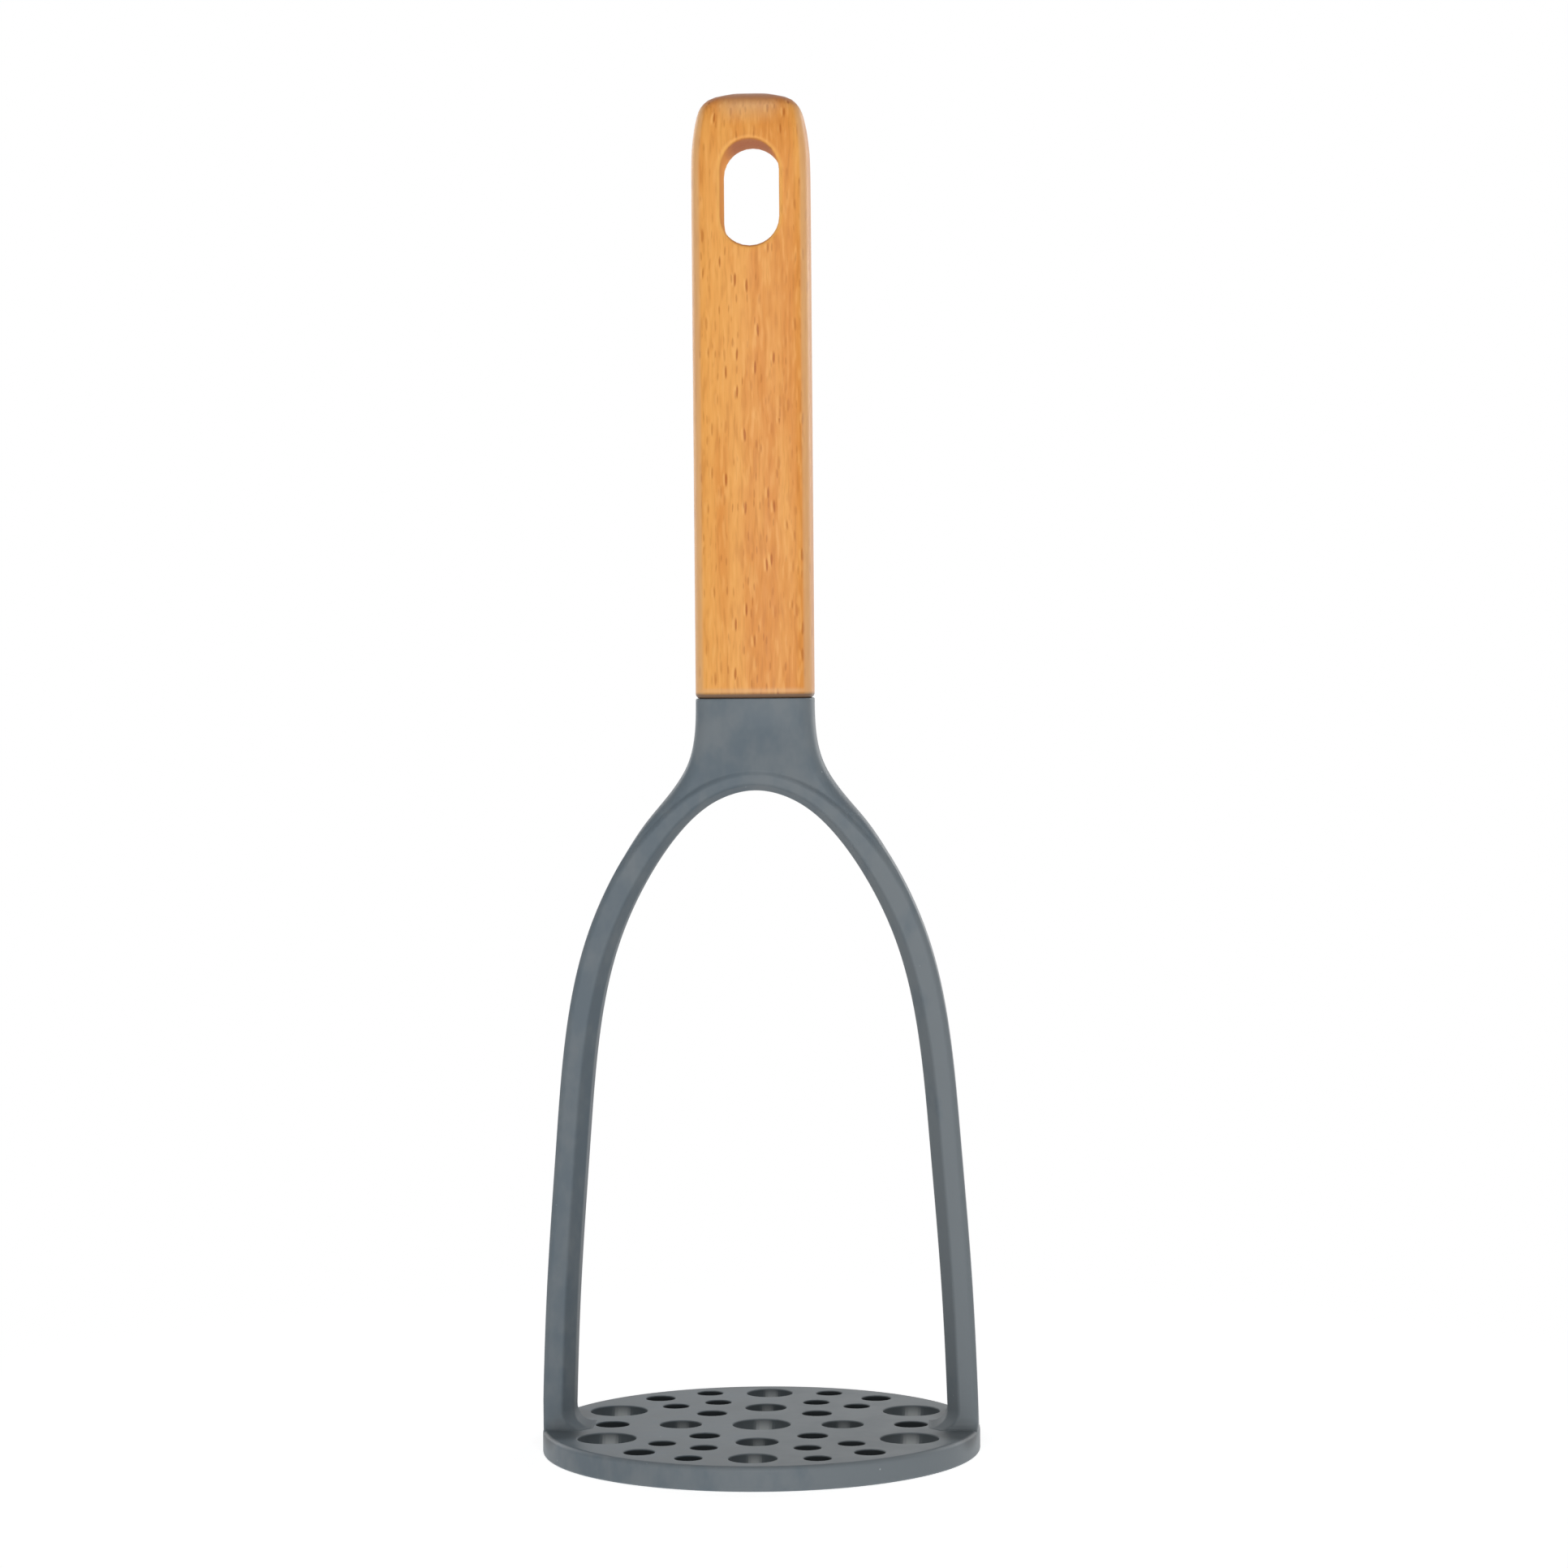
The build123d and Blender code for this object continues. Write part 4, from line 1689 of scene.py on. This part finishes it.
        # Each of a station's rounded corners takes this many columns, counted from the wall's middle
        corner = self.corner_steps + 1
        chamfer_end, chamfer_start = 2 * corner + 0.5, corner + 1.5
        for vert in skin.verts:
            number = vert[column]
            wall = self.wall_shade * smoothstep(corner, 1, number)
            chamfer = self.chamfer_shade * smoothstep(chamfer_end, chamfer_start, number)
            vert[painted_shade] = max(wall, chamfer)


@dataclass
class Tang:
    """Ribbed tang on the collar's top, hidden in the handle's bore."""

    base: float = SEAM_HEIGHT
    radius: float = 5.5 * MM
    length: float = 38.0 * MM
    root: float = 5.0 * MM
    rib_thickness: float = 3.0 * MM
    ring_count: int = 3
    ring_thickness: float = 1.4 * MM
    tip_chamfer: float = 1.2 * MM
    end_steps: int = 4

    def outline(self, radius: float) -> Chain:
        """Outlines the crossed ribs, whose ends follow a circle.

        Args:
            radius: The circle's radius.

        Returns:
            The outline's points, at height 0.
        """
        half = self.rib_thickness / 2
        lean = math.asin(half / radius)
        points = []
        for arm in range(4):
            middle = math.pi / 2 * arm
            turns = [middle - lean + 2 * lean * step / self.end_steps for step in range(self.end_steps + 1)]
            points += [Vector((radius * math.cos(turn), radius * math.sin(turn), 0)) for turn in turns]
            inner = middle + math.pi / 4
            reach = half * math.sqrt(2)
            points.append(Vector((reach * math.cos(inner), reach * math.sin(inner), 0)))
        return points

    def round_outline(self, radius: float) -> Chain:
        """Returns a round outline with as many points as the ribs' outline has."""
        return [point.normalized() * radius for point in self.outline(radius)]

    def build(self) -> Shape:
        """Builds the tang by stations, ribs and rings in turn.

        Returns:
            The tang's closed shape.
        """
        spacing = self.length / (self.ring_count + 1)
        stations = [(self.base - self.root, self.outline(self.radius))]
        for ring in range(self.ring_count):
            low = self.base + spacing * (ring + 1) - self.ring_thickness / 2
            high = low + self.ring_thickness
            stations += [(low, self.outline(self.radius)), (low, self.round_outline(self.radius))]
            stations += [(high, self.round_outline(self.radius)), (high, self.outline(self.radius))]
        top = self.base + self.length
        stations.append((top - self.tip_chamfer, self.outline(self.radius)))
        stations.append((top, self.outline(self.radius - self.tip_chamfer)))
        bm = bmesh.new()
        column = bm.verts.layers.int.new(Loft.COLUMN)
        first = bmesh.ops.create_circle(bm, segments=len(stations[0][1]), radius=1, cap_ends=True)["verts"]
        for number, vert in enumerate(first):
            vert[column] = number
            vert.co = stations[0][1][number] + Vector((0, 0, stations[0][0]))
        front = list(bm.edges)
        for height, points in stations[1:]:
            front = grown(bm, front, lambda vert: points[vert[column]] + Vector((0, 0, height)))
        bmesh.ops.contextual_create(bm, geom=front)
        bmesh.ops.recalc_face_normals(bm, faces=bm.faces)
        return bm


@dataclass
class Head:
    """The nylon head, one moulding: mashing plate, yoke and tang."""

    plate: MashingPlate = field(default_factory=MashingPlate)
    yoke: Yoke = field(default_factory=Yoke)
    tang: Tang = field(default_factory=Tang)

    def build(self) -> bpy.types.Object:
        """Builds the three shapes, joins them in one piece and dresses it.

        Returns:
            The head's object.
        """
        whole = self.plate.build()
        for part in (self.yoke.build(), self.tang.build()):
            mesh = bpy.data.meshes.new("part_of_head")
            part.to_mesh(mesh)
            part.free()
            whole.from_mesh(mesh)
            bpy.data.meshes.remove(mesh)
        piece = settle(whole, "head_of_nylon")
        piece.data.materials.append(NylonFinish().material())
        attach(piece, "root")
        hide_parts("masher_head")
        return piece


@dataclass(frozen=True)
class Lamp:
    """One soft square lamp: its name, its place, its side and its power in watts."""

    name: str
    place: Sizes
    size: float
    power: float


@dataclass
class Studio:
    """White studio: camera, soft lamps, floor and world."""

    camera_place: Sizes = (0.0419, -0.8427, 0.16255)
    camera_turn: float = math.radians(2.46)
    camera_dip: float = math.radians(1.74)
    camera_roll: float = math.radians(-0.47)
    lens: float = 94.5
    sensor: float = 36.0
    aim: Sizes = (0.0, 0.0, 0.14)
    floor_half: float = 3.0
    shadow_share: float = 0.20
    shadow_near: float = 0.06
    shadow_far: float = 0.24
    floor_level: float = 0.36
    world_light: float = 0.12
    table_glow: float = 0.60
    table_colour: Colour = tint(0.8, 0.8, 0.8)
    lamps: list[Lamp] = field(default_factory=lambda: [
        Lamp("key_lamp", (0.08, -1.20, 0.15), 0.5, 5.4),
        Lamp("left_lamp", (-0.95, -0.60, 0.25), 0.6, 0.8),
        Lamp("right_lamp", (0.95, -0.60, 0.25), 0.6, 0.8),
        Lamp("top_lamp", (0.0, -0.45, 0.95), 0.35, 1.5),
        Lamp("back_left_lamp", (-0.90, 0.90, 0.50), 0.6, 3.0),
        Lamp("back_right_lamp", (0.90, 0.90, 0.50), 0.6, 4.0),
    ])

    def make_camera(self) -> None:
        """Sets up the camera at the photograph's angle."""
        data = bpy.data.cameras.new("camera")
        data.lens = self.lens
        data.sensor_width = self.sensor
        camera = bpy.data.objects.new("camera", data)
        upright = Euler((math.pi / 2 - self.camera_dip, 0, self.camera_turn), "XYZ").to_matrix()
        turned = upright @ Matrix.Rotation(self.camera_roll, 3, "Z")
        camera.matrix_world = Matrix.Translation(self.camera_place) @ turned.to_4x4()
        bpy.context.scene.collection.objects.link(camera)
        bpy.context.scene.camera = camera

    def make_lamp(self, lamp: Lamp) -> None:
        """Adds a lamp that faces the masher.

        Args:
            lamp: The lamp.
        """
        data = bpy.data.lights.new(lamp.name, "AREA")
        data.shape = "SQUARE"
        data.size = lamp.size
        data.energy = lamp.power
        light = bpy.data.objects.new(lamp.name, data)
        stand = Vector(lamp.place)
        turn = (Vector(self.aim) - stand).to_track_quat("-Z", "Y").to_matrix().to_4x4()
        light.matrix_world = Matrix.Translation(stand) @ turn
        bpy.context.scene.collection.objects.link(light)

    def white_surface(self, name: str) -> bpy.types.Material:
        """White that stays white to the camera and keeps a soft shadow near the masher.

        Near the masher a share of the white is lit by the lamps, so that a shadow shows there.

        Args:
            name: The material's name.

        Returns:
            The material.
        """
        sketch = NodeSketch(bpy.data.materials.new(name))
        away = sketch.length(sketch.place())
        lit_share = sketch.spread(away, (self.shadow_near, self.shadow_far), (self.shadow_share, 0.0))
        lit = sketch.fed(sketch.add("BsdfDiffuse"), sketch.math("DIVIDE", lit_share, self.floor_level))
        glow = sketch.add("Emission")
        sketch.feed(glow.inputs["Strength"], sketch.math("SUBTRACT", 1.0, lit_share))
        shown = sketch.fed(sketch.add("AddShader"), lit.outputs[0], glow.outputs[0])
        bounce = sketch.fed(sketch.add("BsdfDiffuse"), self.table_colour)
        table = sketch.add("Emission")
        table.inputs["Strength"].default_value = self.table_glow
        unseen = sketch.fed(sketch.add("AddShader"), bounce.outputs[0], table.outputs[0])
        choice = sketch.fed(sketch.add("MixShader"), sketch.seen(), unseen.outputs[0], shown.outputs[0])
        sketch.fed(sketch.output, choice.outputs[0])
        return sketch.owner

    def make_floor(self) -> None:
        """Adds the floor."""
        mesh = bpy.data.meshes.new("floor")
        bm = bmesh.new()
        bmesh.ops.create_grid(bm, x_segments=1, y_segments=1, size=self.floor_half)
        bm.to_mesh(mesh)
        bm.free()
        floor = bpy.data.objects.new("floor", mesh)
        floor.data.materials.append(self.white_surface("white_floor"))
        bpy.context.scene.collection.objects.link(floor)

    def make_world(self) -> None:
        """Sets a world that is white to see and gives a plain soft light."""
        sketch = NodeSketch(bpy.data.worlds.new("studio"), "OutputWorld")
        skies = [
            sketch.fed(sketch.add("Background"), tint(1, 1, 1), strength).outputs[0]
            for strength in (self.world_light, 1.0)
        ]
        choice = sketch.fed(sketch.add("MixShader"), sketch.seen(), *skies)
        sketch.fed(sketch.output, choice.outputs[0])
        bpy.context.scene.world = sketch.owner

    def build(self) -> None:
        """Sets up everything around the object."""
        self.make_camera()
        for lamp in self.lamps:
            self.make_lamp(lamp)
        self.make_floor()
        self.make_world()
        bpy.context.scene.view_settings.view_transform = "Standard"


def dress(node: str, slot: Slot, material: bpy.types.Material) -> None:
    """Gives a CAD node its material.

    Args:
        node: The node's name.
        slot: The record's slot that its finish belongs to.
        material: The material.
    """
    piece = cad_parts[node]
    piece.data.materials.clear()
    piece.data.materials.append(material)
    log.info("%s dressed as %s", node, slot.value)


def main() -> None:
    """Builds the studio and the masher, in order."""
    logging.basicConfig(level=logging.INFO, format="%(message)s")
    Studio().build()
    Handle().build()
    Head().build()
    dress("tang_bond", Slot.ADHESIVE, AdhesiveFinish().material())


if __name__ == "__main__":
    main()
